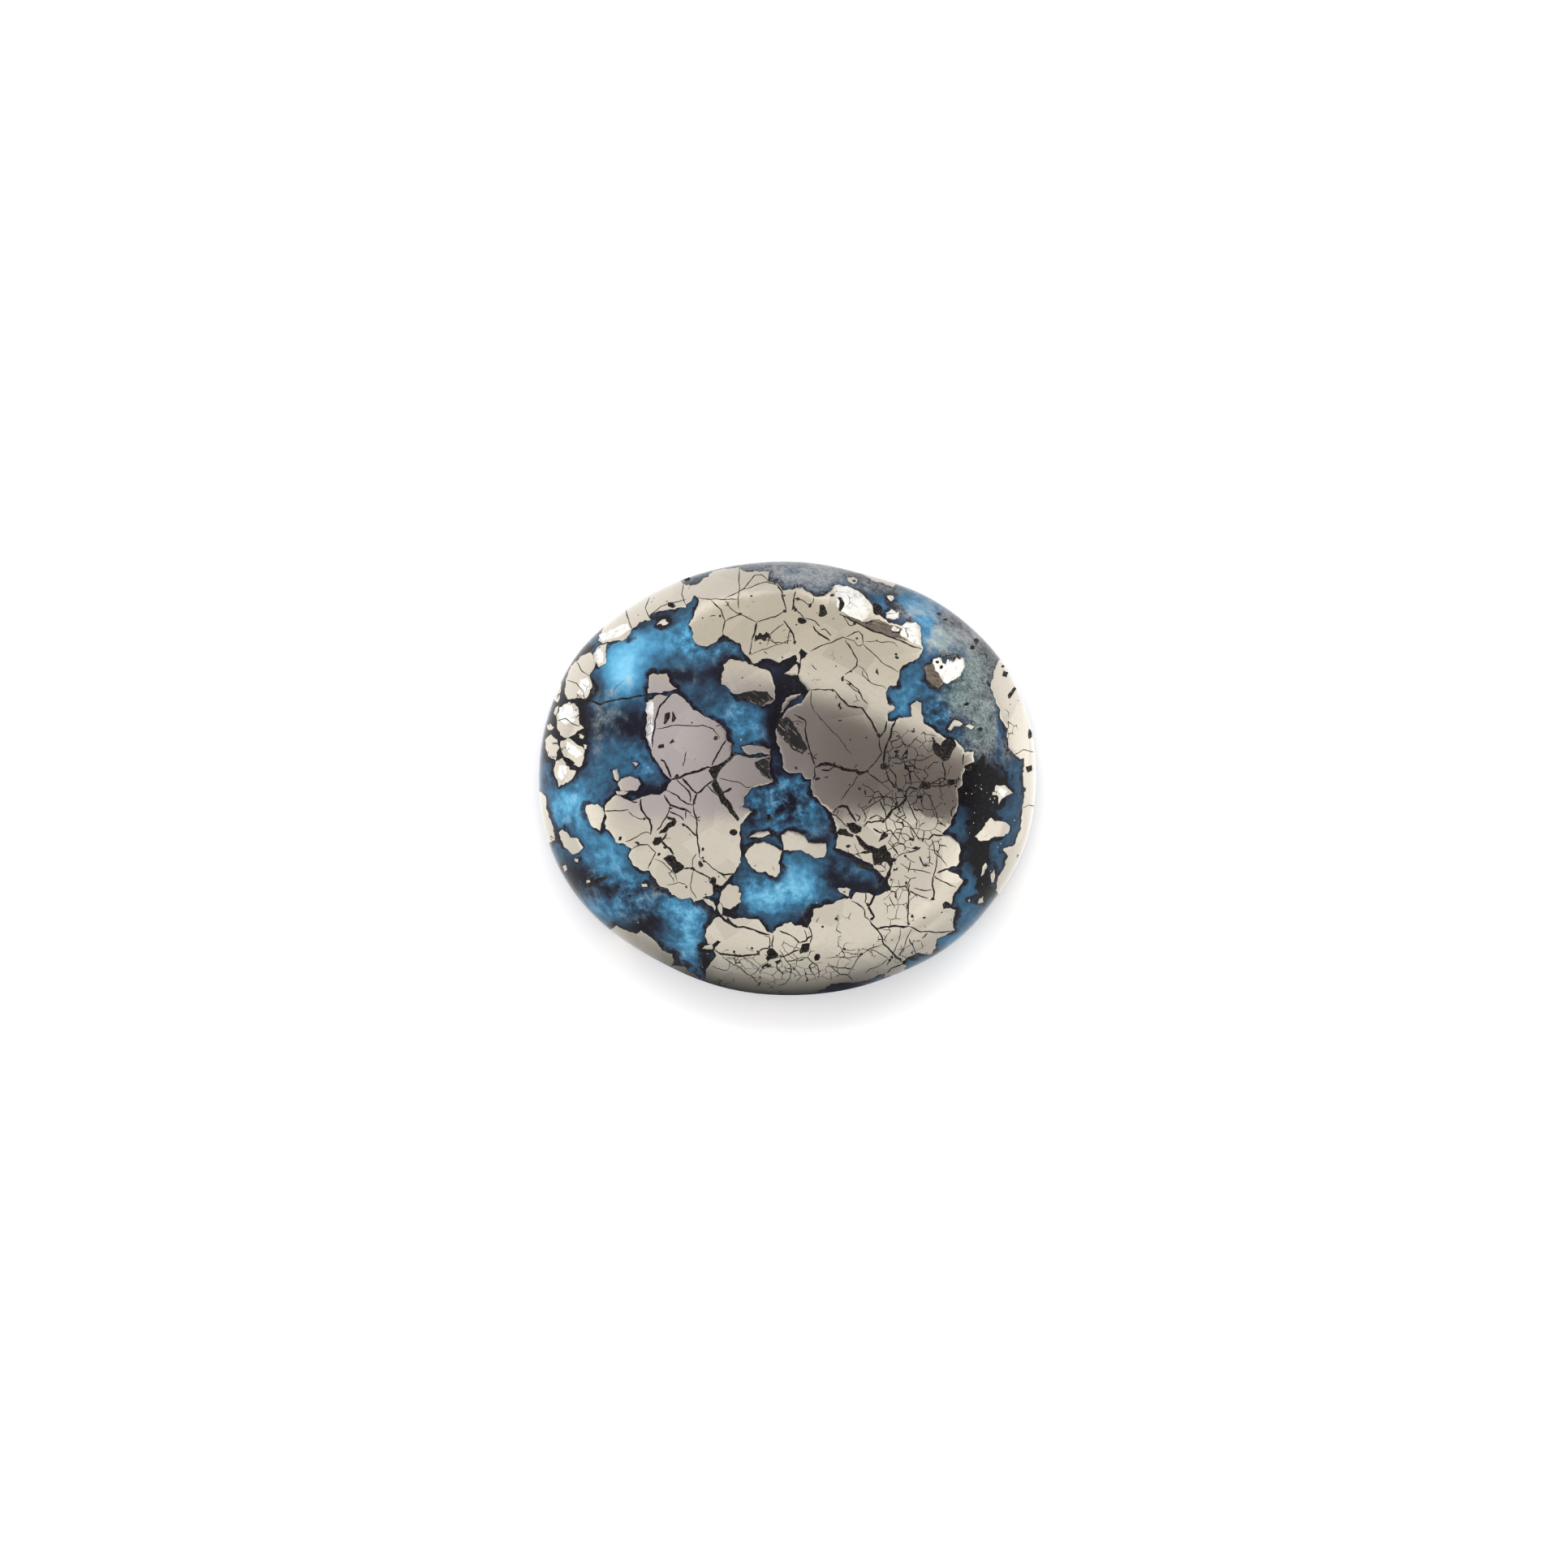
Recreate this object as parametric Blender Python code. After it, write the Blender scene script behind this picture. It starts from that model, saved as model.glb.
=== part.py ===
"""A polished oval cabochon cut from turquoise in pyrite, lying on its flat back.

One solid: a domed face, a narrow girdle and a flat back with a ground edge. Open cracks, pits
and chipped facets are cut into the dome. Millimetres are named below and turned into metres.
The origin is the centre of the flat back, +Z runs up through the dome, and +X is the longer way.
"""

import math

import bmesh
import bpy
from mathutils import Matrix, Vector

MM = 0.001

# Driving dimensions of the stone
STONE_LENGTH = 20.0 * MM
STONE_BREADTH = 17.46 * MM
STONE_THICKNESS = 6.2 * MM
GIRDLE_HEIGHT = 1.3 * MM
BACK_BEVEL = 0.3 * MM
OVAL_SQUARENESS = 2.08
DOME_FULLNESS = 2.3
DOME_RISE = STONE_THICKNESS - GIRDLE_HEIGHT

# Where the hand-cut outline leaves the true oval: angle, reach in degrees, and height
OUTLINE_SWELLS = (
    (25.0, 13.0, 0.07 * MM),
    (68.0, 12.0, -0.14 * MM),
    (149.0, 9.0, 0.08 * MM),
    (232.0, 19.0, -0.21 * MM),
    (300.0, 9.0, -0.05 * MM),
    (329.0, 9.0, -0.07 * MM),
)

# Places on the face are read in a square view of it, in pixels, with y running down
VIEW_CENTRE = (970.0, 959.0)
VIEW_LENGTH = 614.0
PIXEL = STONE_LENGTH / VIEW_LENGTH

# Mesh fineness
FACE_CELLS = 54
EDGE_CROWDING = 0.9
CUTTER_FINENESS = 2
NORMAL_STEP = 0.05 * MM
WELD_DISTANCE = 0.001 * MM
SHARP_ANGLE = 30.0

# How far each kind of cutter stands out of the face: balls as a share of their depth, wires as a
# share of their width
PIT_LIFT = 0.0
FACET_LIFT = 1.5
CRACK_LIFT = 0.25

# Colour, roughness and metallic share of the plain stone
STONE_LOOK = ((0.10, 0.27, 0.40), 0.25, 0.0)

# Pits: centre, width and height in pixels, and depth
PITS = (
    ((1013, 753), (13, 16), 0.20 * MM),
    ((988, 766), (13, 10), 0.16 * MM),
    ((940, 786), (19, 12), 0.20 * MM),
    ((1036, 745), (9, 17), 0.14 * MM),
    ((1079, 750), (12, 15), 0.18 * MM),
    ((1105, 779), (12, 7), 0.14 * MM),
    ((821, 884), (10, 17), 0.18 * MM),
    ((832, 882), (10, 16), 0.18 * MM),
    ((815, 920), (9, 8), 0.12 * MM),
    ((830, 913), (8, 9), 0.12 * MM),
    ((904, 1025), (10, 9), 0.16 * MM),
    ((832, 1064), (26, 22), 0.26 * MM),
    ((879, 1085), (9, 12), 0.16 * MM),
    ((951, 1175), (13, 12), 0.18 * MM),
    ((993, 1168), (13, 13), 0.20 * MM),
    ((1052, 1018), (18, 14), 0.24 * MM),
    ((1088, 945), (10, 10), 0.20 * MM),
    ((1139, 968), (13, 11), 0.18 * MM),
    ((1090, 1055), (27, 20), 0.22 * MM),
    ((988, 801), (9, 9), 0.14 * MM),
    ((701, 939), (12, 14), 0.20 * MM),
    ((1163, 922), (29, 27), 0.20 * MM),
)

# Chipped or ground facets: centre, length and width in pixels, turn in degrees, and depth
FACETS = (
    ((975, 907), (54, 36), -50.0, 0.14 * MM),
    ((930, 862), (46, 20), 0.0, 0.12 * MM),
    ((1056, 743), (56, 46), -40.0, 0.16 * MM),
    ((1086, 774), (82, 24), -24.0, 0.18 * MM),
    ((1121, 783), (34, 28), 0.0, 0.12 * MM),
    ((1150, 832), (28, 18), -60.0, 0.12 * MM),
)

# Open cracks: width in pixels, then the points along the crack
CRACKS = (
    (5.0, ((998, 851), (1029, 850), (1046, 870), (1063, 874), (1076, 893), (1084, 910), (1084, 931),
           (1068, 950))),
    (7.0, ((1005, 945), (1026, 942), (1039, 948), (1058, 953))),
    (4.5, ((990, 889), (994, 906), (998, 921), (1003, 940))),
    (5.0, ((1104, 889), (1097, 905), (1089, 921), (1087, 938))),
    (5.0, ((1090, 952), (1096, 966), (1112, 975), (1133, 969))),
    (5.0, ((1115, 979), (1109, 991), (1097, 1001), (1081, 1012), (1064, 1010))),
    (4.5, ((1057, 959), (1044, 971), (1033, 988), (1026, 1000))),
    (6.0, ((831, 856), (818, 873), (807, 892), (804, 910), (817, 938), (828, 958))),
    (5.0, ((807, 897), (842, 896), (870, 897), (884, 905))),
    (7.0, ((898, 927), (879, 950), (887, 984), (898, 995), (909, 1014))),
    (5.0, ((876, 962), (860, 980), (855, 992), (858, 1016), (861, 1052))),
    (5.0, ((1068, 1110), (1076, 1130), (1088, 1156), (1101, 1174), (1112, 1182))),
    (5.0, ((1080, 1143), (1098, 1141), (1118, 1141), (1140, 1146), (1172, 1147))),
    (5.0, ((728, 1088), (748, 1080))),
)


def outline_radius(angle):
    """How far the girdle lies from the middle of the stone in this direction."""
    half_length = STONE_LENGTH / 2
    half_breadth = STONE_BREADTH / 2
    along = abs(math.cos(angle) / half_length) ** OVAL_SQUARENESS
    across = abs(math.sin(angle) / half_breadth) ** OVAL_SQUARENESS
    radius = (along + across) ** (-1.0 / OVAL_SQUARENESS)
    for centre, reach, height in OUTLINE_SWELLS:
        turn = math.degrees(angle) - centre
        turn = (turn + 180.0) % 360.0 - 180.0
        radius += height * math.exp(-((turn / reach) ** 2))
    return radius


def dome_height(share):
    """Height of the polished face, at a share of the way from the middle to the girdle."""
    share = min(share, 1.0)
    return GIRDLE_HEIGHT + DOME_RISE * math.sqrt(1.0 - share**DOME_FULLNESS)


def on_dome(x, y):
    share = math.hypot(x, y) / outline_radius(math.atan2(y, x))
    return Vector((x, y, dome_height(share)))


def seen_at(pixel):
    """The point of the polished face that shows at this pixel of the view."""
    x = (pixel[0] - VIEW_CENTRE[0]) * PIXEL
    y = (VIEW_CENTRE[1] - pixel[1]) * PIXEL
    return on_dome(x, y)


def dome_normal(point):
    east = on_dome(point.x + NORMAL_STEP, point.y) - on_dome(point.x - NORMAL_STEP, point.y)
    north = on_dome(point.x, point.y + NORMAL_STEP) - on_dome(point.x, point.y - NORMAL_STEP)
    return east.cross(north).normalized()


def set_material(obj, name, colour, roughness, metallic):
    material = bpy.data.materials.new(name)
    material.use_nodes = True
    shader = material.node_tree.nodes["Principled BSDF"]
    shader.inputs["Base Color"].default_value = (*colour, 1.0)
    shader.inputs["Roughness"].default_value = roughness
    shader.inputs["Metallic"].default_value = metallic
    material.diffuse_color = (*colour, 1.0)
    obj.data.materials.append(material)


def add_mesh_object(name, bm, collection):
    mesh = bpy.data.meshes.new(name)
    bm.to_mesh(mesh)
    bm.free()
    obj = bpy.data.objects.new(name, mesh)
    collection.objects.link(obj)
    return obj


def mark_as_cutter(obj):
    obj.display_type = "WIRE"
    obj.hide_render = True


def make_stone(collection):
    """A grid bent onto the dome, with the girdle and the ground edge drawn out of its rim."""
    bm = bmesh.new()
    bmesh.ops.create_grid(bm, x_segments=FACE_CELLS, y_segments=FACE_CELLS, size=1.0)
    for vert in bm.verts:
        u, v = vert.co.x, vert.co.y
        disc_x = u * math.sqrt(1.0 - v * v / 2.0)
        disc_y = v * math.sqrt(1.0 - u * u / 2.0)
        angle = math.atan2(disc_y, disc_x)
        share = min(math.hypot(disc_x, disc_y), 1.0)
        crowded = math.sin(share * EDGE_CROWDING * math.pi / 2) / math.sin(EDGE_CROWDING * math.pi / 2)
        reach = crowded * outline_radius(angle)
        vert.co = (reach * math.cos(angle), reach * math.sin(angle), dome_height(crowded))

    rim = [edge for edge in bm.edges if edge.is_boundary]
    for height, inset in ((BACK_BEVEL, 0.0), (0.0, BACK_BEVEL)):
        drawn = bmesh.ops.extrude_edge_only(bm, edges=rim)["geom"]
        for vert in drawn:
            if isinstance(vert, bmesh.types.BMVert):
                flat = Vector((vert.co.x, vert.co.y, 0.0))
                vert.co = flat - flat.normalized() * inset
                vert.co.z = height
        rim = [edge for edge in drawn if isinstance(edge, bmesh.types.BMEdge)]
    bmesh.ops.holes_fill(bm, edges=rim, sides=0)
    bmesh.ops.recalc_face_normals(bm, faces=bm.faces)
    return add_mesh_object("turquoise_stone", bm, collection)


def make_hollow(name, pixel, size, turn, depth, lift, collection):
    """A squashed ball that cuts this deep into the dome. A lifted ball is flatter where it cuts."""
    bm = bmesh.new()
    bmesh.ops.create_icosphere(bm, subdivisions=CUTTER_FINENESS, radius=1.0)
    point = seen_at(pixel)
    normal = dome_normal(point)
    widen = 1.0 / math.sqrt(1.0 - (lift / (1.0 + lift)) ** 2)
    scale = Matrix.Diagonal(
        (size[0] * PIXEL / 2 * widen, size[1] * PIXEL / 2 * widen, depth * (1.0 + lift), 1.0)
    )
    place = (
        Matrix.Translation(point + normal * depth * lift)
        @ normal.to_track_quat("Z", "Y").to_matrix().to_4x4()
        @ Matrix.Rotation(math.radians(turn), 4, "Z")
        @ scale
    )
    bmesh.ops.transform(bm, matrix=place, verts=bm.verts)
    mark_as_cutter(add_mesh_object(name, bm, collection))


def make_crack(name, width, pixels, collection):
    """A four-sided wire along the crack, mostly sunk in the dome, kept as a mesh for cutting."""
    curve = bpy.data.curves.new(name, "CURVE")
    curve.dimensions = "3D"
    curve.bevel_depth = width * PIXEL / 2
    curve.bevel_resolution = 0
    curve.use_fill_caps = True
    spline = curve.splines.new("POLY")
    spline.points.add(len(pixels) - 1)
    for point, pixel in zip(spline.points, pixels):
        place = seen_at(pixel)
        place += dome_normal(place) * width * PIXEL * CRACK_LIFT
        point.co = (*place, 1.0)
    wire = bpy.data.objects.new(name + "_wire", curve)
    collection.objects.link(wire)
    bpy.context.view_layer.update()
    mesh = bpy.data.meshes.new_from_object(wire.evaluated_get(bpy.context.evaluated_depsgraph_get()))
    bpy.data.objects.remove(wire)

    bm = bmesh.new()
    bm.from_mesh(mesh)
    bmesh.ops.remove_doubles(bm, verts=bm.verts, dist=WELD_DISTANCE)
    bmesh.ops.recalc_face_normals(bm, faces=bm.faces)
    bpy.data.meshes.remove(mesh)
    mark_as_cutter(add_mesh_object(name, bm, collection))


def cut_with(obj, cutters):
    cut = obj.modifiers.new("face_damage", "BOOLEAN")
    cut.operation = "DIFFERENCE"
    cut.operand_type = "COLLECTION"
    cut.collection = cutters
    cut.solver = "EXACT"


def main():
    for obj in list(bpy.data.objects):
        bpy.data.objects.remove(obj)
    stone_parts = bpy.data.collections.new("turquoise_cabochon")
    cutters = bpy.data.collections.new("face_cutters")
    bpy.context.scene.collection.children.link(stone_parts)
    bpy.context.scene.collection.children.link(cutters)
    cutters.hide_render = True

    stone = make_stone(stone_parts)
    set_material(stone, "turquoise_in_pyrite", *STONE_LOOK)
    for number, (pixel, size, depth) in enumerate(PITS):
        make_hollow(f"pit_{number}", pixel, size, 0.0, depth, PIT_LIFT, cutters)
    for number, (pixel, size, turn, depth) in enumerate(FACETS):
        make_hollow(f"facet_{number}", pixel, size, turn, depth, FACET_LIFT, cutters)
    for number, (width, pixels) in enumerate(CRACKS):
        make_crack(f"crack_{number}", width, pixels, cutters)
    cut_with(stone, cutters)
    stone.data.shade_smooth()
    stone.data.set_sharp_from_angle(angle=math.radians(SHARP_ANGLE))


main()
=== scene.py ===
# %% [markdown]
# This lesson dresses a plain solid of a polished cabochon: a domed oval of turquoise and dark matrix,
# set through with large grains of pyrite. The plain solid comes from the imported model. Everything
# made here lies in the same place and stays inside its box.

# %% Load the plain stone
import math
import random

import bmesh
import bpy
import numpy as np
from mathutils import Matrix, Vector, kdtree, noise
from mathutils.geometry import delaunay_2d_cdt


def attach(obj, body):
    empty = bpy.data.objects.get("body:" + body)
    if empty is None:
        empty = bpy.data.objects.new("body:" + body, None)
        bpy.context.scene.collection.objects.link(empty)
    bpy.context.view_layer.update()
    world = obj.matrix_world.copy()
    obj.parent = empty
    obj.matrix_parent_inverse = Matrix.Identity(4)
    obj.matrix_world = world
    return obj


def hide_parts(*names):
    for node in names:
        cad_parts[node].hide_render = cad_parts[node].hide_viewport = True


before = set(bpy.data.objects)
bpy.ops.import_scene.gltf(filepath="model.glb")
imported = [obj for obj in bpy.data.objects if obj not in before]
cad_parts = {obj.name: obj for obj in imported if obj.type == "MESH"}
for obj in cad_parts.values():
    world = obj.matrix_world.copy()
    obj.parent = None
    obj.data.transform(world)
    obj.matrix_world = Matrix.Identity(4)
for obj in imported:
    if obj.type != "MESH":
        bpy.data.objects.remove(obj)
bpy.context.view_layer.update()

NODE = "turquoise_stone"
MM = 0.001

# %% [markdown]
# The stone's form is one formula: an oval outline with a few hand-cut swells and flats, and a dome
# that stands steeply on a narrow girdle. The plain solid was made from the same formula, so the fine
# surface fits it everywhere. Lengths are in millimetres until the mesh is written.

# %% The form of the stone
STONE_LENGTH = 20.0
STONE_BREADTH = 17.46
STONE_THICKNESS = 6.2
GIRDLE_HEIGHT = 1.3
BACK_BEVEL = 0.3
OVAL_SQUARENESS = 2.08
DOME_FULLNESS = 2.3
SKIN = 0.008  # how far the fine surface stays inside the plain one
OUTLINE_SWELLS = (  # angle and reach in degrees, height
    (25.0, 13.0, 0.07),
    (68.0, 12.0, -0.14),
    (149.0, 9.0, 0.08),
    (232.0, 19.0, -0.21),
    (300.0, 9.0, -0.05),
    (329.0, 9.0, -0.07),
)


def outline_radius(angle):
    """How far the girdle lies from the middle, for an array of angles."""
    along = np.abs(np.cos(angle) / (STONE_LENGTH / 2)) ** OVAL_SQUARENESS
    across = np.abs(np.sin(angle) / (STONE_BREADTH / 2)) ** OVAL_SQUARENESS
    radius = (along + across) ** (-1.0 / OVAL_SQUARENESS)
    for centre, reach, height in OUTLINE_SWELLS:
        turn = (np.degrees(angle) - centre + 180.0) % 360.0 - 180.0
        radius = radius + height * np.exp(-((turn / reach) ** 2))
    return radius - SKIN


def share_of_way(x, y):
    """0 in the middle of the stone and 1 at the girdle."""
    return np.hypot(x, y) / outline_radius(np.arctan2(y, x))


reach = outline_radius(np.radians([0.0, 90.0]))
print("half length and half breadth of the fine surface", np.round(reach, 3))

# %% [markdown]
# The whole surface is first drawn flat, as the camera sees it, and then bent over the dome. Past the
# outline the flat drawing goes on for a little way, and that margin is folded down over the girdle
# and the ground edge of the back. So a grain that reaches the rim carries on down the side.

# %% From the flat drawing to the dome
MARGIN = 0.10  # how far the drawing goes on past the outline, as a share of the radius
GIRDLE_PART = 0.72  # the share of the margin that becomes the girdle; the rest is the ground edge
SINK = 0.016  # the softer turquoise is worn this far below the plain dome


def bend(x, y):
    """Turns places in the flat drawing into places on the dome, girdle or ground edge."""
    angle = np.arctan2(y, x)
    radius = outline_radius(angle)
    share = np.hypot(x, y) / radius
    inner = np.clip(share, 0.0, 1.0)
    rise = STONE_THICKNESS - GIRDLE_HEIGHT
    height = GIRDLE_HEIGHT + rise * np.sqrt(1.0 - inner**DOME_FULLNESS)
    past = np.clip((share - 1.0) / MARGIN, 0.0, 1.0)
    down = np.clip(past / GIRDLE_PART, 0.0, 1.0)
    under = np.clip((past - GIRDLE_PART) / (1.0 - GIRDLE_PART), 0.0, 1.0)
    height = height - down * (GIRDLE_HEIGHT - BACK_BEVEL) - under * BACK_BEVEL
    reach = inner * radius - under * BACK_BEVEL
    return np.stack([reach * np.cos(angle), reach * np.sin(angle), height], axis=-1)


# %% [markdown]
# Grains, cracks and pits are placed in a square view of the stone that is 1932 pixels wide,
# with x to the right and y down. One helper turns such places into millimetres. A drawn outline
# has straight sides, and a real grain has a ragged one, so each side is cut into short steps and the
# steps are pushed about by smooth noise, coarse and fine. The coarse noise moves everything alike, so
# neighbours still meet. Cracks and pits take only a share of the fine one. The seed keeps the noise
# the same in every run.

# %% Places in the view, and ragged edges
VIEW_CENTRE = (970.0, 959.0)
PIXEL = STONE_LENGTH / 614.0
STEP = 3.0  # pixels between points on an outline
ROUGH_SIZES = ((11.0, 0.9), (4.0, 0.9))  # size of a wobble and how far it pushes, in pixels
CRACK_ROUGHNESS = 0.35  # the share of the fine wobble that cracks take
PIT_ROUGHNESS = 0.5
LAYER_GAP = 7.3  # keeps the two wobbles unlike each other
noise.seed_set(5)


def in_millimetres(places):
    places = np.asarray(places, dtype=float)
    return np.stack([places[:, 0] - VIEW_CENTRE[0], VIEW_CENTRE[1] - places[:, 1]], axis=1) * PIXEL


def short_steps(places, closed, step=STEP):
    """The same line with more points on it."""
    ends = list(places[1:]) + ([places[0]] if closed else [])
    fine = []
    for (x0, y0), (x1, y1) in zip(places, ends):
        count = max(1, round(math.hypot(x1 - x0, y1 - y0) / step))
        for index in range(count):
            part = index / count
            fine.append((x0 + (x1 - x0) * part, y0 + (y1 - y0) * part))
    if not closed:
        fine.append(tuple(places[-1]))
    return fine


def ragged(places, fine_share=1.0):
    """Pushes points about: the coarse wobble is the same for all, the fine one has a share."""
    moved = []
    for x, y in places:
        for layer, (size, push) in enumerate(ROUGH_SIZES):
            wobble = noise.noise_vector(Vector((x / size, y / size, LAYER_GAP * layer)))
            wobble *= push * 2.0 * (fine_share if layer else 1.0)
            x, y = x + wobble.x, y + wobble.y
        moved.append((x, y))
    return moved


# %% [markdown]
# The pyrite is one large broken mass round the top, the right and the bottom, a second mass left of
# the middle, and some fifty loose grains. Each outline below follows one of them. Where a
# grain runs over the rim, its outline simply goes on past the edge of the stone.

# %% Outlines of the pyrite
GREAT_MASS = [
    (737, 789), (744, 771), (690, 728), (740, 688), (809, 665), (838, 716), (845, 722), (858, 721),
    (880, 703), (899, 700), (910, 700), (918, 705), (948, 704), (946, 715), (960, 722), (963, 727),
    (988, 725), (1001, 734), (1009, 736), (1019, 732), (1026, 726), (1028, 720), (1036, 723), (1046, 723),
    (1056, 727), (1062, 732), (1072, 743), (1084, 760), (1095, 768), (1111, 771), (1116, 768), (1128, 767),
    (1133, 771), (1135, 781), (1133, 789), (1137, 799), (1132, 810), (1112, 820), (1108, 826), (1104, 844),
    (1095, 847), (1090, 854), (1092, 867), (1101, 871), (1094, 881), (1093, 890), (1101, 890), (1108, 886),
    (1122, 883), (1122, 869), (1129, 864), (1135, 867), (1135, 880), (1137, 891), (1146, 897), (1153, 904),
    (1162, 909), (1178, 912), (1187, 927), (1199, 926), (1200, 938), (1189, 942), (1188, 951), (1184, 960),
    (1184, 968), (1178, 971), (1180, 982), (1177, 1002), (1171, 1013), (1160, 1028), (1169, 1030),
    (1176, 1034), (1182, 1041), (1183, 1062), (1179, 1067), (1170, 1068), (1168, 1073), (1179, 1077),
    (1187, 1085), (1176, 1100), (1171, 1118), (1176, 1122), (1175, 1146), (1155, 1158), (1152, 1169),
    (1146, 1176), (1137, 1174), (1126, 1176), (1116, 1181), (1111, 1187), (1118, 1191), (1115, 1195),
    (1104, 1201), (1090, 1206), (1091, 1199), (1070, 1208), (1025, 1213), (1018, 1218), (1007, 1222),
    (1012, 1295), (930, 1300), (850, 1280), (869, 1206), (870, 1195), (883, 1177), (880, 1169), (873, 1161),
    (870, 1153), (872, 1145), (876, 1138), (882, 1131), (890, 1128), (907, 1132), (918, 1130), (929, 1132),
    (939, 1135), (946, 1145), (952, 1150), (957, 1143), (967, 1138), (974, 1136), (980, 1140), (986, 1139),
    (995, 1143), (1001, 1129), (1002, 1120), (1014, 1117), (1036, 1108), (1049, 1105), (1056, 1099),
    (1070, 1100), (1077, 1105), (1090, 1098), (1098, 1096), (1095, 1090), (1094, 1084), (1098, 1076),
    (1095, 1073), (1090, 1080), (1076, 1070), (1076, 1066), (1066, 1062), (1052, 1052), (1030, 1044),
    (1032, 1027), (1030, 1022), (1029, 1014), (1024, 1001), (1008, 987), (1001, 978), (999, 969),
    (1000, 960), (992, 959), (987, 953), (970, 952), (965, 945), (966, 936), (957, 915), (957, 898),
    (966, 880), (974, 873), (988, 866), (996, 850), (994, 850), (987, 841), (984, 834), (988, 813),
    (995, 805), (987, 800), (983, 807), (967, 812), (959, 817), (950, 813), (943, 812), (936, 816),
    (929, 818), (918, 806), (911, 793), (904, 791), (892, 781), (880, 793), (873, 796), (865, 797),
    (859, 795), (856, 789), (854, 777), (850, 770), (862, 746), (861, 737), (856, 735), (852, 742),
    (846, 744), (845, 749), (834, 749), (828, 751), (807, 754), (801, 757), (800, 763), (789, 768),
    (780, 775), (773, 788), (744, 792),
]
LEFT_MASS = [
    (832, 854), (842, 861), (857, 876), (867, 883), (879, 887), (887, 893), (894, 903), (895, 910),
    (901, 917), (901, 924), (903, 932), (915, 931), (926, 934), (949, 931), (949, 955), (953, 962),
    (946, 967), (935, 968), (926, 971), (919, 980), (914, 994), (923, 996), (928, 1000), (919, 1005),
    (916, 1012), (912, 1016), (913, 1063), (897, 1084), (890, 1090), (882, 1093), (879, 1101), (869, 1107),
    (856, 1111), (851, 1105), (841, 1108), (828, 1103), (824, 1094), (814, 1091), (801, 1073), (791, 1072),
    (782, 1066), (776, 1055), (779, 1046), (770, 1041), (762, 1039), (755, 1028), (748, 1021), (745, 993),
    (752, 984), (759, 980), (780, 987), (803, 979), (814, 979), (821, 973), (824, 966), (828, 961),
    (818, 952), (811, 939), (803, 928), (796, 900), (801, 869), (799, 862), (812, 857), (824, 858),
]
RIM_BAND_RIGHT = [
    (1231, 814), (1226, 821), (1224, 835), (1220, 848), (1231, 873), (1234, 887), (1241, 898), (1241, 911),
    (1243, 922), (1257, 936), (1261, 933), (1262, 943), (1260, 968), (1265, 971), (1262, 981), (1257, 1022),
    (1250, 1041), (1235, 1046), (1242, 1055), (1230, 1085), (1228, 1097), (1230, 1102), (1290, 1135),
    (1350, 1050), (1366, 960), (1352, 870), (1298, 776),
]
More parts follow.
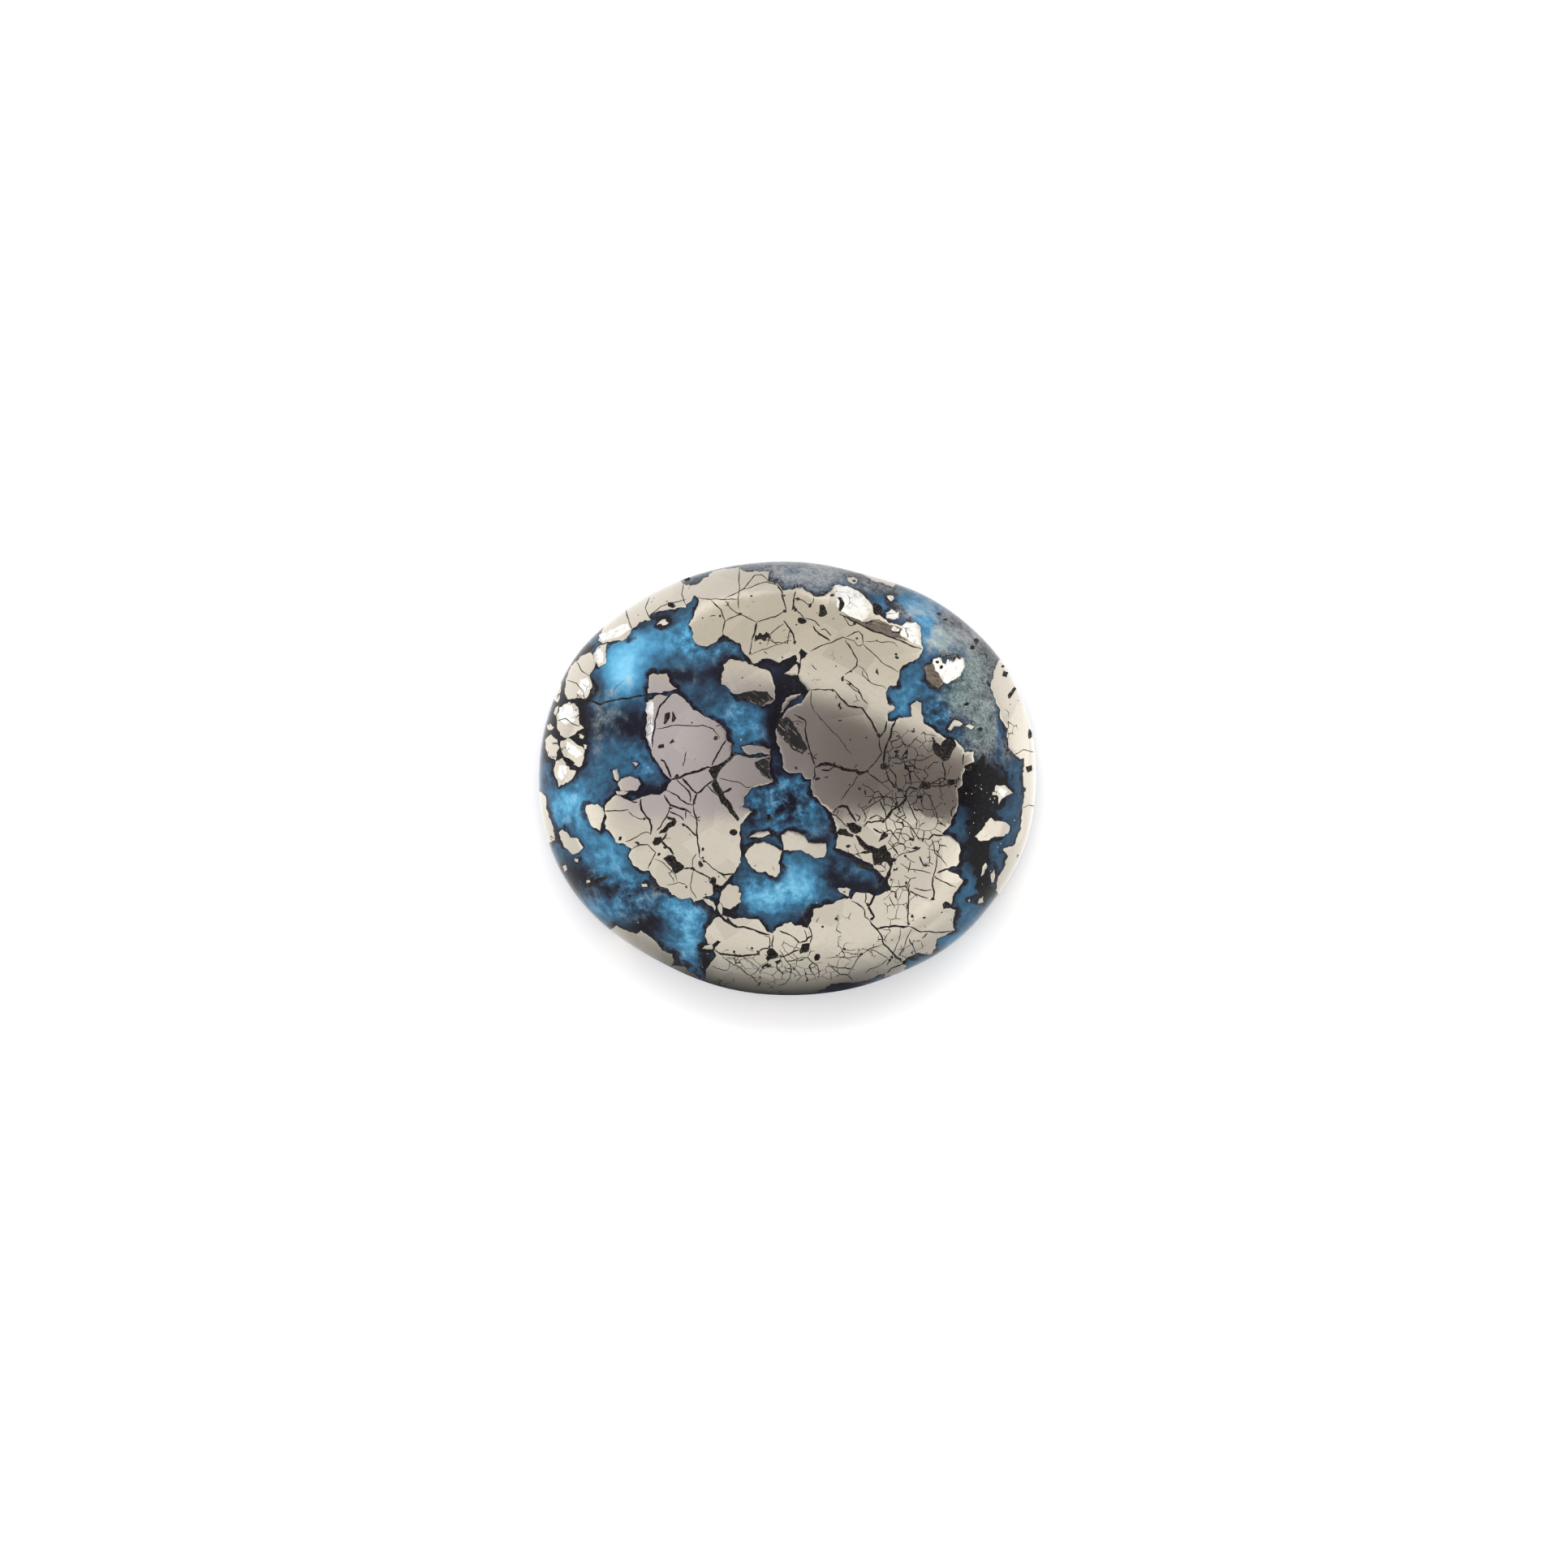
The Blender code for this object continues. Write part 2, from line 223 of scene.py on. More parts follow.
LOOSE_GRAINS = [
    [(801, 834), (806, 831), (823, 831), (828, 843), (834, 849), (811, 854), (799, 854), (801, 844)],
    [(899, 1088), (910, 1091), (912, 1096), (910, 1100), (913, 1101), (913, 1111), (899, 1120), (892, 1118),
     (887, 1108), (889, 1098)],
    [(722, 992), (735, 991), (744, 996), (745, 1010), (740, 1024), (730, 1018), (724, 1008)],
    [(749, 792), (747, 799), (746, 817), (738, 823), (732, 814), (731, 805), (738, 796)],
    [(728, 803), (719, 806), (703, 821), (697, 836), (696, 852), (700, 861), (719, 862), (726, 855),
     (729, 844), (726, 834), (731, 824), (733, 817)],
    [(695, 868), (702, 865), (709, 867), (713, 876), (714, 889), (719, 896), (700, 909), (690, 906),
     (686, 894), (686, 883)],
    [(692, 913), (700, 909), (721, 924), (717, 942), (713, 946), (696, 934), (691, 921)],
    [(672, 913), (679, 906), (686, 911), (689, 921), (686, 928), (685, 937), (676, 931), (672, 921)],
    [(685, 938), (693, 934), (699, 942), (702, 949), (709, 951), (706, 959), (689, 970), (686, 963),
     (684, 949)], [(716, 904), (720, 907), (718, 911), (715, 909)],
    [(719, 917), (724, 918), (724, 923), (720, 922)],
    [(674, 893), (679, 892), (683, 896), (679, 899), (675, 898)],
    [(683, 872), (687, 870), (688, 877), (685, 882), (682, 879)],
    [(681, 860), (684, 845), (690, 838), (692, 848), (689, 860), (685, 866)],
    [(667, 976), (672, 981), (673, 997), (681, 1021), (682, 1036), (610, 1058), (588, 975)],
    [(688, 1025), (693, 1022), (703, 1032), (710, 1033), (716, 1038), (719, 1044), (714, 1051), (706, 1053),
     (699, 1047), (695, 1042)],
    [(759, 1140), (770, 1147), (784, 1150), (790, 1146), (808, 1161), (815, 1171), (828, 1176), (831, 1184),
     (798, 1240), (698, 1192)],
    [(829, 1190), (842, 1191), (850, 1198), (862, 1205), (843, 1258), (808, 1240)],
    [(708, 1057), (712, 1058), (711, 1062), (708, 1061)],
    [(693, 1067), (697, 1066), (700, 1072), (697, 1074)],
    [(722, 1084), (726, 1083), (726, 1086), (722, 1087)],
    [(761, 966), (766, 959), (778, 957), (788, 961), (790, 967), (785, 973), (773, 975), (764, 973)],
    [(757, 949), (761, 948), (763, 956), (762, 963), (758, 960)],
    [(780, 941), (784, 939), (787, 942), (784, 945)],
    [(759, 975), (768, 974), (774, 977), (768, 979), (761, 979)],
    [(810, 769), (817, 763), (820, 763), (824, 769), (818, 770), (815, 768)],
    [(892, 819), (899, 814), (917, 815), (941, 825), (950, 830), (955, 852), (955, 862), (951, 868),
     (938, 871), (904, 855), (896, 847), (889, 844), (890, 833), (893, 824)],
    [(915, 920), (923, 917), (934, 920), (950, 922), (948, 929), (936, 927), (925, 930), (917, 927)],
    [(924, 1031), (932, 1026), (946, 1024), (948, 1028), (935, 1032)],
    [(918, 1052), (924, 1044), (931, 1039), (943, 1037), (955, 1044), (963, 1046), (962, 1055), (959, 1063),
     (961, 1074), (955, 1080), (949, 1079), (943, 1074), (934, 1074), (925, 1067)],
    [(964, 1037), (964, 1028), (971, 1023), (983, 1025), (990, 1028), (995, 1037), (1002, 1039),
     (1008, 1038), (1017, 1039), (1018, 1049), (1014, 1056), (1004, 1056), (988, 1047), (981, 1046),
     (974, 1048), (966, 1046)], [(1032, 1094), (1042, 1093), (1049, 1096), (1046, 1103), (1041, 1104)],
    [(1147, 819), (1149, 813), (1153, 814), (1155, 811), (1159, 811), (1160, 817), (1164, 818), (1167, 813),
     (1171, 816), (1176, 813), (1178, 810), (1182, 812), (1183, 809), (1187, 812), (1186, 817), (1189, 821),
     (1185, 826), (1183, 832), (1176, 837), (1171, 837), (1168, 843), (1162, 840), (1156, 849), (1149, 845),
     (1142, 836), (1138, 822)], [(1094, 735), (1101, 733), (1103, 739), (1097, 742)],
    [(1090, 755), (1098, 750), (1104, 755), (1109, 752), (1108, 762), (1100, 765), (1092, 763)],
    [(1045, 712), (1052, 710), (1057, 715), (1054, 720), (1046, 718)],
    [(1064, 708), (1075, 706), (1090, 711), (1104, 718), (1100, 722), (1072, 713)],
    [(1201, 1031), (1205, 1036), (1215, 1036), (1225, 1031), (1234, 1031), (1242, 1026), (1244, 1017),
     (1235, 1012), (1225, 1012), (1221, 1007), (1216, 1011), (1205, 1027)],
    [(1238, 967), (1247, 977), (1237, 981), (1230, 992), (1229, 980), (1223, 980), (1226, 968)],
    [(1208, 1079), (1209, 1070), (1214, 1063), (1216, 1066), (1212, 1077)],
    [(1220, 1088), (1221, 1078), (1226, 1071), (1227, 1078), (1224, 1087)],
    [(1205, 1113), (1207, 1107), (1212, 1105), (1211, 1111)], [(1191, 1109), (1195, 1109), (1194, 1113)],
    [(1167, 897), (1171, 890), (1180, 888), (1185, 891), (1182, 896), (1175, 895), (1171, 901)],
    [(1188, 895), (1194, 893), (1199, 896), (1194, 899)],
    [(981, 807), (984, 803), (987, 810), (986, 818), (982, 815)], [(967, 830), (983, 819), (983, 834)],
    [(792, 1090), (797, 1089), (798, 1092), (794, 1093)],
    [(961, 878), (964, 868), (970, 861), (977, 857), (986, 855), (980, 861), (972, 866), (967, 873)],
    [(866, 1169), (869, 1165), (875, 1163), (879, 1167), (878, 1170)],
    [(884, 1115), (888, 1112), (890, 1116), (891, 1125), (888, 1127), (885, 1121)],
    [(868, 1108), (874, 1107), (880, 1110), (882, 1117), (880, 1122), (876, 1116)],
]
PYRITE = [GREAT_MASS, LEFT_MASS, RIM_BAND_RIGHT, *LOOSE_GRAINS]
print("pyrite grains:", len(PYRITE), "hand-placed points:", sum(len(grain) for grain in PYRITE))

# %% [markdown]
# Dark matrix shows in three kinds of hollow. Pools and gaps between grains are drawn as outlines.
# Pits are ovals. Open cracks are drawn as lines with a width, and become long thin hollows that
# narrow towards their ends.

# %% Gaps, pits and open cracks
GAPS = [
    [(1148, 908), (1151, 909), (1152, 915), (1158, 919), (1161, 913), (1164, 910), (1169, 908), (1175, 909),
     (1177, 914), (1177, 920), (1168, 937), (1163, 939), (1151, 928), (1148, 922), (1150, 915)],
    [(1053, 1029), (1058, 1031), (1071, 1041), (1083, 1045), (1091, 1041), (1093, 1047), (1097, 1051),
     (1098, 1056), (1104, 1057), (1101, 1061), (1097, 1062), (1096, 1068), (1091, 1062), (1087, 1061),
     (1077, 1067), (1074, 1052), (1072, 1049), (1064, 1045), (1058, 1040)],
    [(1030, 1025), (1034, 1021), (1042, 1021), (1046, 1026), (1052, 1029), (1050, 1032), (1040, 1029),
     (1034, 1029)],
    [(1043, 1014), (1050, 1013), (1061, 1018), (1060, 1024), (1055, 1028), (1049, 1025), (1043, 1018)],
    [(1057, 1051), (1063, 1047), (1069, 1047), (1073, 1050), (1066, 1051)],
    [(1084, 1033), (1086, 1028), (1090, 1024), (1094, 1027), (1094, 1030), (1082, 1037)],
    [(1042, 1041), (1046, 1040), (1049, 1042), (1046, 1044), (1043, 1044)],
    [(1122, 1044), (1128, 1042), (1134, 1044), (1131, 1047), (1126, 1046)],
    [(1136, 1062), (1139, 1065), (1144, 1065), (1142, 1069), (1138, 1067)],
    [(1100, 1070), (1103, 1071), (1106, 1068), (1106, 1073), (1102, 1073), (1101, 1075)],
    [(1161, 1113), (1164, 1110), (1168, 1111), (1171, 1114), (1172, 1118), (1162, 1120)],
    [(1111, 1188), (1113, 1184), (1116, 1185), (1114, 1189)],
    [(817, 1059), (823, 1054), (829, 1053), (833, 1055), (836, 1060), (844, 1067), (844, 1070), (833, 1077),
     (830, 1074), (829, 1068)],
    [(820, 1005), (826, 1005), (831, 1008), (833, 1013), (830, 1018), (825, 1020), (822, 1025), (812, 1027),
     (814, 1023), (823, 1014), (829, 1011)],
    [(804, 1038), (808, 1031), (815, 1031), (817, 1036), (811, 1042), (806, 1042)],
    [(876, 1081), (880, 1079), (883, 1081), (883, 1088), (888, 1090), (893, 1089), (893, 1093), (889, 1097),
     (882, 1095), (881, 1100), (879, 1100), (879, 1092), (876, 1085)],
    [(848, 1069), (854, 1067), (857, 1070), (855, 1072)],
    [(840, 1014), (844, 1014), (846, 1017), (842, 1018)],
    [(860, 1062), (863, 1060), (867, 1067), (862, 1068), (860, 1065)],
    [(783, 1037), (787, 1036), (789, 1039), (787, 1041)],
    [(763, 1036), (764, 1032), (767, 1032), (766, 1036)],
    [(744, 1003), (747, 1006), (748, 1011), (741, 1021), (743, 1012)],
    [(901, 926), (906, 927), (903, 933), (889, 948), (884, 961), (896, 984), (902, 992), (912, 1010),
     (909, 1013), (897, 996), (890, 990), (880, 973), (877, 967), (879, 960), (873, 949), (877, 945),
     (884, 943), (893, 938), (899, 932)],
    [(819, 880), (823, 878), (826, 878), (825, 884), (821, 893), (818, 891)],
    [(828, 880), (829, 876), (835, 886), (832, 890), (828, 890)],
    [(811, 920), (813, 918), (818, 918), (819, 922), (812, 923)],
    [(825, 915), (829, 910), (831, 914), (833, 914), (826, 918)],
    [(696, 932), (702, 934), (708, 940), (703, 946), (697, 943)],
    [(823, 743), (830, 743), (833, 747), (828, 750), (823, 748)],
    [(728, 1088), (738, 1081), (749, 1079), (745, 1084), (733, 1091)],
    [(877, 1163), (885, 1159), (889, 1161), (882, 1167), (883, 1171), (880, 1168)],
    [(949, 1168), (953, 1169), (959, 1176), (958, 1180), (948, 1181), (946, 1183), (943, 1180), (945, 1177),
     (944, 1173)], [(954, 1185), (963, 1182), (964, 1184), (957, 1189)],
    [(988, 1162), (999, 1162), (998, 1168), (994, 1173), (985, 1175), (985, 1170)],
    [(1003, 1178), (1005, 1174), (1009, 1174), (1011, 1178), (1009, 1183), (1005, 1183)],
    [(932, 1171), (936, 1172), (935, 1177), (932, 1175)],
    [(931, 791), (930, 784), (934, 784), (937, 780), (941, 783), (945, 779), (949, 782), (949, 788),
     (945, 787), (943, 791), (939, 787), (935, 788)],
    [(1131, 971), (1134, 966), (1138, 963), (1144, 963), (1146, 966), (1145, 972), (1139, 973)],
    [(1165, 963), (1169, 960), (1174, 961), (1176, 965), (1172, 968), (1167, 967)],
    [(1187, 946), (1188, 942), (1195, 943), (1196, 949), (1190, 950)],
    [(1083, 946), (1085, 941), (1089, 940), (1093, 943), (1099, 941), (1090, 949), (1084, 948)],
    [(1101, 925), (1105, 924), (1108, 926), (1106, 929), (1103, 928)],
    [(1110, 932), (1113, 934), (1116, 930), (1118, 931), (1116, 935), (1112, 935)],
    [(1004, 960), (1006, 957), (1010, 958), (1010, 961), (1006, 962)],
    [(1031, 736), (1037, 736), (1040, 743), (1039, 749), (1036, 753), (1033, 752), (1034, 741)],
    [(1010, 746), (1015, 746), (1018, 751), (1019, 756), (1016, 760), (1011, 761), (1009, 758)],
    [(1074, 745), (1078, 743), (1083, 746), (1086, 751), (1085, 757), (1080, 759), (1076, 756)],
    [(1064, 766), (1073, 765), (1076, 766), (1066, 769)],
    [(1099, 779), (1110, 778), (1108, 781), (1100, 781)],
    [(1036, 835), (1038, 833), (1040, 833), (1039, 840), (1037, 840)],
    [(1080, 823), (1083, 832), (1078, 829)], [(1137, 957), (1141, 960), (1138, 960)],
    [(840, 711), (848, 708), (851, 714), (844, 717)], [(1264, 944), (1271, 943), (1272, 950), (1266, 952)],
    [(1236, 826), (1243, 829), (1240, 835), (1234, 832)],
    [(1241, 856), (1250, 846), (1253, 849), (1242, 862)],
    [(945, 1004), (950, 1003), (951, 1010), (946, 1013)],
]
PITS = [  # place of the centre, then width and height, in pixels
    (988, 766, 11, 8), (1025, 734, 5, 4), (1104, 807, 4, 3), (1104, 811, 5, 4), (1055, 786, 3, 3),
    (882, 910, 5, 5), (904, 1025, 10, 7), (866, 1046, 4, 5), (866, 1056, 3, 3), (867, 1061, 3, 3),
    (820, 1044, 4, 3), (813, 1053, 4, 4), (846, 1093, 4, 4), (912, 757, 5, 3), (966, 754, 5, 4),
    (926, 734, 3, 3), (888, 760, 3, 3), (776, 1104, 4, 5), (966, 734, 4, 3), (905, 1173, 3, 4),
    (927, 1168, 3, 3), (979, 1194, 4, 3), (936, 1204, 3, 3), (1013, 1141, 3, 3), (1040, 1169, 3, 4),
    (1104, 1179, 3, 3), (1096, 1184, 3, 3), (1138, 1131, 4, 3), (1040, 1098, 3, 3), (1125, 1034, 4, 3),
    (1115, 1088, 3, 4), (1107, 908, 6, 3), (1124, 902, 5, 3), (1035, 888, 7, 2), (981, 946, 3, 5),
    (1017, 957, 5, 2), (1058, 972, 4, 4), (1066, 977, 3, 7), (1203, 790, 6, 7), (1198, 798, 6, 5),
    (1157, 757, 7, 4), (1165, 763, 8, 3), (1190, 868, 6, 5), (1206, 899, 8, 5), (1053, 716, 4, 3),
    (1154, 817, 4, 3), (1159, 822, 4, 5), (1235, 821, 5, 4), (1269, 904, 6, 14),
]
CRACKS = [  # width in pixels, then points along the crack
    (1.4, [(861, 737), (877, 739), (911, 739)]), (1.5, [(911, 701), (911, 750)]),
    (1.8, [(877, 741), (888, 752), (894, 766), (891, 781)]),
    (1.6, [(893, 768), (897, 763), (912, 757), (933, 767)]),
    (1.8, [(933, 767), (943, 763), (955, 761), (966, 754)]), (2.8, [(933, 768), (930, 776), (928, 790)]),
    (1.4, [(928, 790), (922, 808)]), (1.5, [(893, 741), (903, 752), (911, 757)]),
    (1.4, [(893, 738), (915, 727), (930, 710), (938, 708), (946, 715)]),
    (1.4, [(912, 728), (945, 717), (957, 722)]), (2.2, [(957, 722), (963, 730), (968, 753)]),
    (2.2, [(975, 752), (980, 729)]), (1.4, [(978, 737), (990, 741), (999, 747)]),
    (1.8, [(976, 750), (986, 756), (991, 762)]), (2.4, [(965, 765), (976, 782), (980, 794)]),
    (1.4, [(949, 784), (965, 769)]), (1.2, [(924, 808), (975, 789)]),
    (1.6, [(992, 762), (1003, 766), (1010, 771)]),
    (2.6, [(1002, 771), (1009, 782), (1018, 786), (1022, 790)]),
    (1.8, [(1011, 776), (1016, 775), (1023, 783)]),
    (1.8, [(999, 802), (1030, 790), (1037, 786), (1043, 787)]),
    (1.2, [(1003, 737), (1003, 742), (996, 748)]),
    (1.8, [(1041, 790), (1051, 803), (1056, 814), (1054, 821), (1041, 832)]),
    (1.8, [(1040, 838), (1057, 850), (1062, 862), (1068, 868)]),
    (1.4, [(1042, 843), (1056, 852), (1060, 857)]),
    (1.2, [(1043, 787), (1052, 790), (1056, 796), (1060, 797), (1063, 795)]),
    (1.8, [(1044, 785), (1052, 780), (1057, 779), (1061, 782), (1064, 794)]),
    (1.4, [(1063, 795), (1090, 819), (1106, 829)]),
    (1.2, [(1066, 792), (1080, 791), (1101, 792), (1106, 797)]),
    (1.4, [(1038, 759), (1046, 771), (1050, 772), (1056, 768)]),
    (1.2, [(1055, 819), (1061, 823), (1073, 842), (1088, 847), (1091, 850)]),
    (1.6, [(1062, 828), (1061, 832), (1072, 841)]),
    (2.4, [(1034, 757), (1070, 776), (1086, 781), (1135, 801)]), (1.8, [(998, 850), (1028, 851)]),
    (2.8, [(1028, 851), (1045, 870), (1062, 873), (1073, 889), (1083, 910)]),
    (1.8, [(1083, 910), (1085, 928), (1081, 935), (1068, 949)]),
    (2.4, [(1083, 910), (1090, 899), (1092, 889)]),
    (3.4, [(1104, 888), (1098, 898), (1095, 912), (1089, 925), (1088, 942)]),
    (1.2, [(972, 894), (976, 889), (984, 889), (990, 892)]),
    (2.4, [(979, 881), (991, 888), (993, 893), (992, 900), (994, 910), (1005, 946)]),
    (5.0, [(1005, 946), (1012, 942), (1020, 941), (1034, 945), (1039, 948), (1055, 950), (1059, 954),
           (1069, 949)]), (2.2, [(1012, 948), (1020, 949), (1027, 945)]),
    (2.2, [(1004, 946), (1004, 955), (1002, 961)]), (1.6, [(1059, 954), (1036, 985)]),
    (2.0, [(1068, 952), (1087, 964), (1094, 961)]), (1.2, [(1087, 965), (1096, 975), (1100, 974)]),
    (2.4, [(1090, 950), (1100, 971), (1105, 971), (1111, 975)]),
    (2.0, [(1094, 945), (1103, 956), (1104, 971)]), (1.2, [(998, 850), (999, 868), (1002, 876)]),
    (1.2, [(1002, 876), (1039, 916), (1043, 923), (1050, 929)]),
    (3.0, [(1111, 975), (1115, 975), (1120, 970), (1131, 972)]),
    (2.0, [(1146, 966), (1160, 959), (1166, 961)]), (2.0, [(1145, 969), (1159, 969), (1165, 966)]),
    (2.0, [(1175, 967), (1179, 970)]), (2.4, [(1162, 939), (1164, 958)]),
    (2.2, [(1186, 928), (1185, 935), (1186, 942)]), (1.8, [(1119, 939), (1128, 948), (1133, 948)]),
    (1.8, [(1120, 937), (1138, 936), (1150, 929)]), (1.8, [(1140, 948), (1150, 940), (1157, 939)]),
    (2.4, [(1114, 942), (1119, 946), (1122, 967)]), (1.6, [(1094, 934), (1102, 933), (1107, 930)]),
    (1.6, [(1100, 940), (1108, 941), (1119, 938)]), (1.4, [(1109, 914), (1113, 917), (1115, 921)]),
    (1.4, [(1106, 929), (1108, 935), (1112, 939)]),
    (4.0, [(1115, 976), (1114, 981), (1116, 984), (1112, 989), (1099, 998), (1089, 1010)]),
    (1.8, [(1117, 985), (1121, 991), (1121, 995), (1129, 1013), (1129, 1022)]),
    (1.4, [(1121, 992), (1128, 989), (1135, 976)]), (1.6, [(1119, 979), (1124, 975), (1130, 974)]),
    (1.6, [(1140, 976), (1149, 991), (1157, 1012), (1164, 1019)]),
    (1.6, [(1106, 992), (1108, 999), (1104, 1005)]), (1.4, [(1092, 980), (1106, 993)]),
    (1.4, [(1103, 975), (1103, 985), (1106, 990)]),
    (1.4, [(1062, 999), (1076, 991), (1090, 981), (1096, 975)]),
    (2.2, [(1084, 986), (1089, 1000), (1090, 1007)]),
    (1.6, [(1099, 1000), (1104, 1006), (1118, 1013), (1131, 1033)]),
    (1.8, [(1177, 994), (1173, 995), (1171, 1000), (1174, 1007)]),
    (3.6, [(1031, 995), (1037, 993), (1042, 994), (1054, 1013)]), (2.0, [(1025, 1001), (1031, 995)]),
    (1.6, [(1031, 1004), (1033, 998)]), (1.8, [(1022, 1001), (1030, 1005), (1043, 1019)]),
    (2.6, [(1063, 1018), (1067, 1011), (1072, 1013), (1089, 1010)]),
    (2.0, [(1070, 1009), (1080, 1004), (1088, 1009)]), (2.8, [(1075, 1021), (1082, 1025), (1088, 1025)]),
    (1.6, [(1062, 999), (1066, 1006), (1063, 1012)]), (2.0, [(1052, 1001), (1058, 1006), (1056, 1012)]),
    (1.8, [(1092, 1024), (1097, 1023), (1101, 1031), (1105, 1035), (1106, 1039)]),
    (2.0, [(1100, 1043), (1106, 1053)]), (1.4, [(1090, 1010), (1094, 1024)]),
    (1.6, [(1094, 1046), (1099, 1044), (1100, 1040), (1104, 1038), (1112, 1040), (1115, 1046)]),
    (1.6, [(1115, 1047), (1122, 1048), (1130, 1046)]), (1.8, [(1121, 1037), (1123, 1041)]),
    (1.4, [(1127, 1027), (1132, 1034), (1145, 1033)]), (3.0, [(1144, 1033), (1149, 1028), (1161, 1030)]),
    (1.4, [(1105, 1035), (1108, 1027), (1116, 1027), (1125, 1034)]),
    (1.4, [(1121, 1018), (1122, 1025), (1127, 1033)]), (2.4, [(1132, 1055), (1138, 1064)]),
    (1.4, [(1103, 1056), (1114, 1050), (1130, 1047)]), (1.4, [(1108, 1064), (1121, 1070), (1146, 1075)]),
    (1.4, [(1122, 1060), (1118, 1075)]), (1.4, [(1113, 1053), (1118, 1059), (1128, 1062)]),
    (1.6, [(1147, 1033), (1152, 1051), (1166, 1067)]),
    (2.0, [(1154, 1055), (1153, 1067), (1149, 1078), (1153, 1083), (1178, 1093)]),
    (3.0, [(1154, 1075), (1171, 1070)]), (3.4, [(1098, 1061), (1094, 1083)]),
    (1.8, [(1096, 1092), (1114, 1092), (1119, 1100), (1118, 1141)]),
    (1.8, [(1120, 1098), (1134, 1105), (1143, 1107)]), (1.6, [(1125, 1095), (1140, 1097), (1148, 1096)]),
    (2.4, [(1149, 1080), (1150, 1100), (1149, 1108)]), (2.0, [(1145, 1109), (1152, 1109)]),
    (3.4, [(1077, 1100), (1073, 1113), (1070, 1117)]),
    (2.0, [(1066, 1100), (1066, 1107), (1064, 1111), (1071, 1118)]),
    (3.6, [(1070, 1117), (1077, 1129), (1073, 1133)]),
    (1.8, [(1048, 1109), (1060, 1117), (1064, 1121), (1065, 1128), (1072, 1133)]),
    (2.8, [(1072, 1133), (1087, 1155), (1089, 1163), (1100, 1175), (1112, 1184)]),
    (2.0, [(1038, 1102), (1048, 1106), (1054, 1100)]), (3.2, [(1080, 1144), (1098, 1141), (1118, 1141)]),
    (2.0, [(1118, 1141), (1134, 1147), (1152, 1149), (1174, 1147)]),
    (1.2, [(1109, 1143), (1110, 1152), (1098, 1180)]), (1.4, [(1122, 1145), (1108, 1178)]),
    (1.6, [(1120, 1156), (1128, 1176)]), (1.4, [(1071, 1169), (1088, 1176), (1094, 1182)]),
    (1.2, [(1088, 1163), (1071, 1169), (1059, 1179), (1018, 1180)]),
    (1.4, [(1018, 1190), (1034, 1192), (1050, 1192), (1062, 1174)]),
    (1.6, [(1025, 1191), (1036, 1200), (1044, 1200), (1051, 1207)]),
    (1.2, [(1067, 1200), (1072, 1194), (1088, 1188), (1094, 1183)]), (1.4, [(1100, 1178), (1093, 1190)]),
    (1.8, [(1093, 1200), (1098, 1193), (1112, 1188)]), (4.4, [(884, 1127), (910, 1142)]),
    (2.8, [(908, 1141), (920, 1143), (949, 1151)]), (2.0, [(897, 1130), (903, 1136)]),
    (2.8, [(934, 1131), (948, 1148)]), (1.6, [(942, 1151), (948, 1153), (950, 1165), (948, 1168)]),
    (2.0, [(953, 1152), (952, 1162), (953, 1168)]), (2.2, [(935, 1172), (941, 1168), (948, 1168)]),
    (3.0, [(883, 1170), (888, 1175), (908, 1177), (930, 1176), (934, 1173)]),
    (2.0, [(957, 1188), (957, 1193), (965, 1200)]), (1.8, [(950, 1187), (947, 1191)]),
    (2.4, [(986, 1160), (994, 1159), (995, 1155), (999, 1152)]),
    (2.0, [(997, 1140), (1000, 1155), (999, 1162)]), (1.8, [(960, 1146), (974, 1152), (986, 1161)]),
    (1.4, [(991, 1145), (994, 1156)]), (2.0, [(985, 1169), (978, 1171), (966, 1179), (959, 1178)]),
    (1.4, [(960, 1171), (970, 1183), (974, 1190), (975, 1197), (973, 1204), (968, 1211), (960, 1214)]),
    (1.6, [(969, 1183), (978, 1183), (984, 1181)]), (1.2, [(976, 1190), (989, 1203), (981, 1210)]),
    (1.4, [(985, 1180), (995, 1180), (1007, 1190), (1009, 1206)]),
    (1.4, [(890, 1178), (910, 1191), (936, 1212)]),
    (1.2, [(916, 1178), (934, 1192), (930, 1199), (924, 1202)]),
    (1.2, [(900, 1184), (899, 1191), (896, 1195), (876, 1191)]),
    (2.8, [(829, 854), (814, 872), (808, 888), (804, 921)]),
    (1.6, [(809, 898), (836, 894), (867, 894), (880, 898), (887, 910)]),
    (2.6, [(895, 911), (886, 924), (878, 944)]), (3.0, [(815, 936), (819, 939), (828, 958)]),
    (3.8, [(828, 960), (838, 958), (854, 951), (872, 946), (877, 946)]),
    (2.2, [(831, 957), (834, 955), (838, 957)]), (2.6, [(903, 927), (918, 931), (930, 932)]),
    (1.4, [(888, 960), (908, 963), (920, 969), (928, 970)]), (3.2, [(841, 959), (860, 978)]),
    (2.6, [(860, 978), (878, 962)]), (1.8, [(872, 968), (883, 979)]),
    (2.2, [(834, 961), (850, 975), (852, 982), (851, 988)]),
    (2.2, [(822, 973), (836, 981), (839, 986), (854, 993)]), (3.0, [(860, 978), (854, 993)]),
    (2.2, [(854, 993), (859, 1008), (862, 1056)]), (3.2, [(819, 979), (826, 991), (852, 1001)]),
    (2.0, [(826, 991), (822, 1005), (814, 1019), (810, 1023)]),
    (2.2, [(823, 998), (838, 1006), (843, 1011)]), (2.0, [(846, 999), (845, 1009)]),
    (2.6, [(822, 1026), (816, 1035)]), (3.4, [(816, 1037), (825, 1045), (830, 1052)]),
    (2.6, [(844, 1070), (850, 1069)]), (2.4, [(856, 1071), (877, 1082)]), (1.6, [(862, 1056), (897, 1083)]),
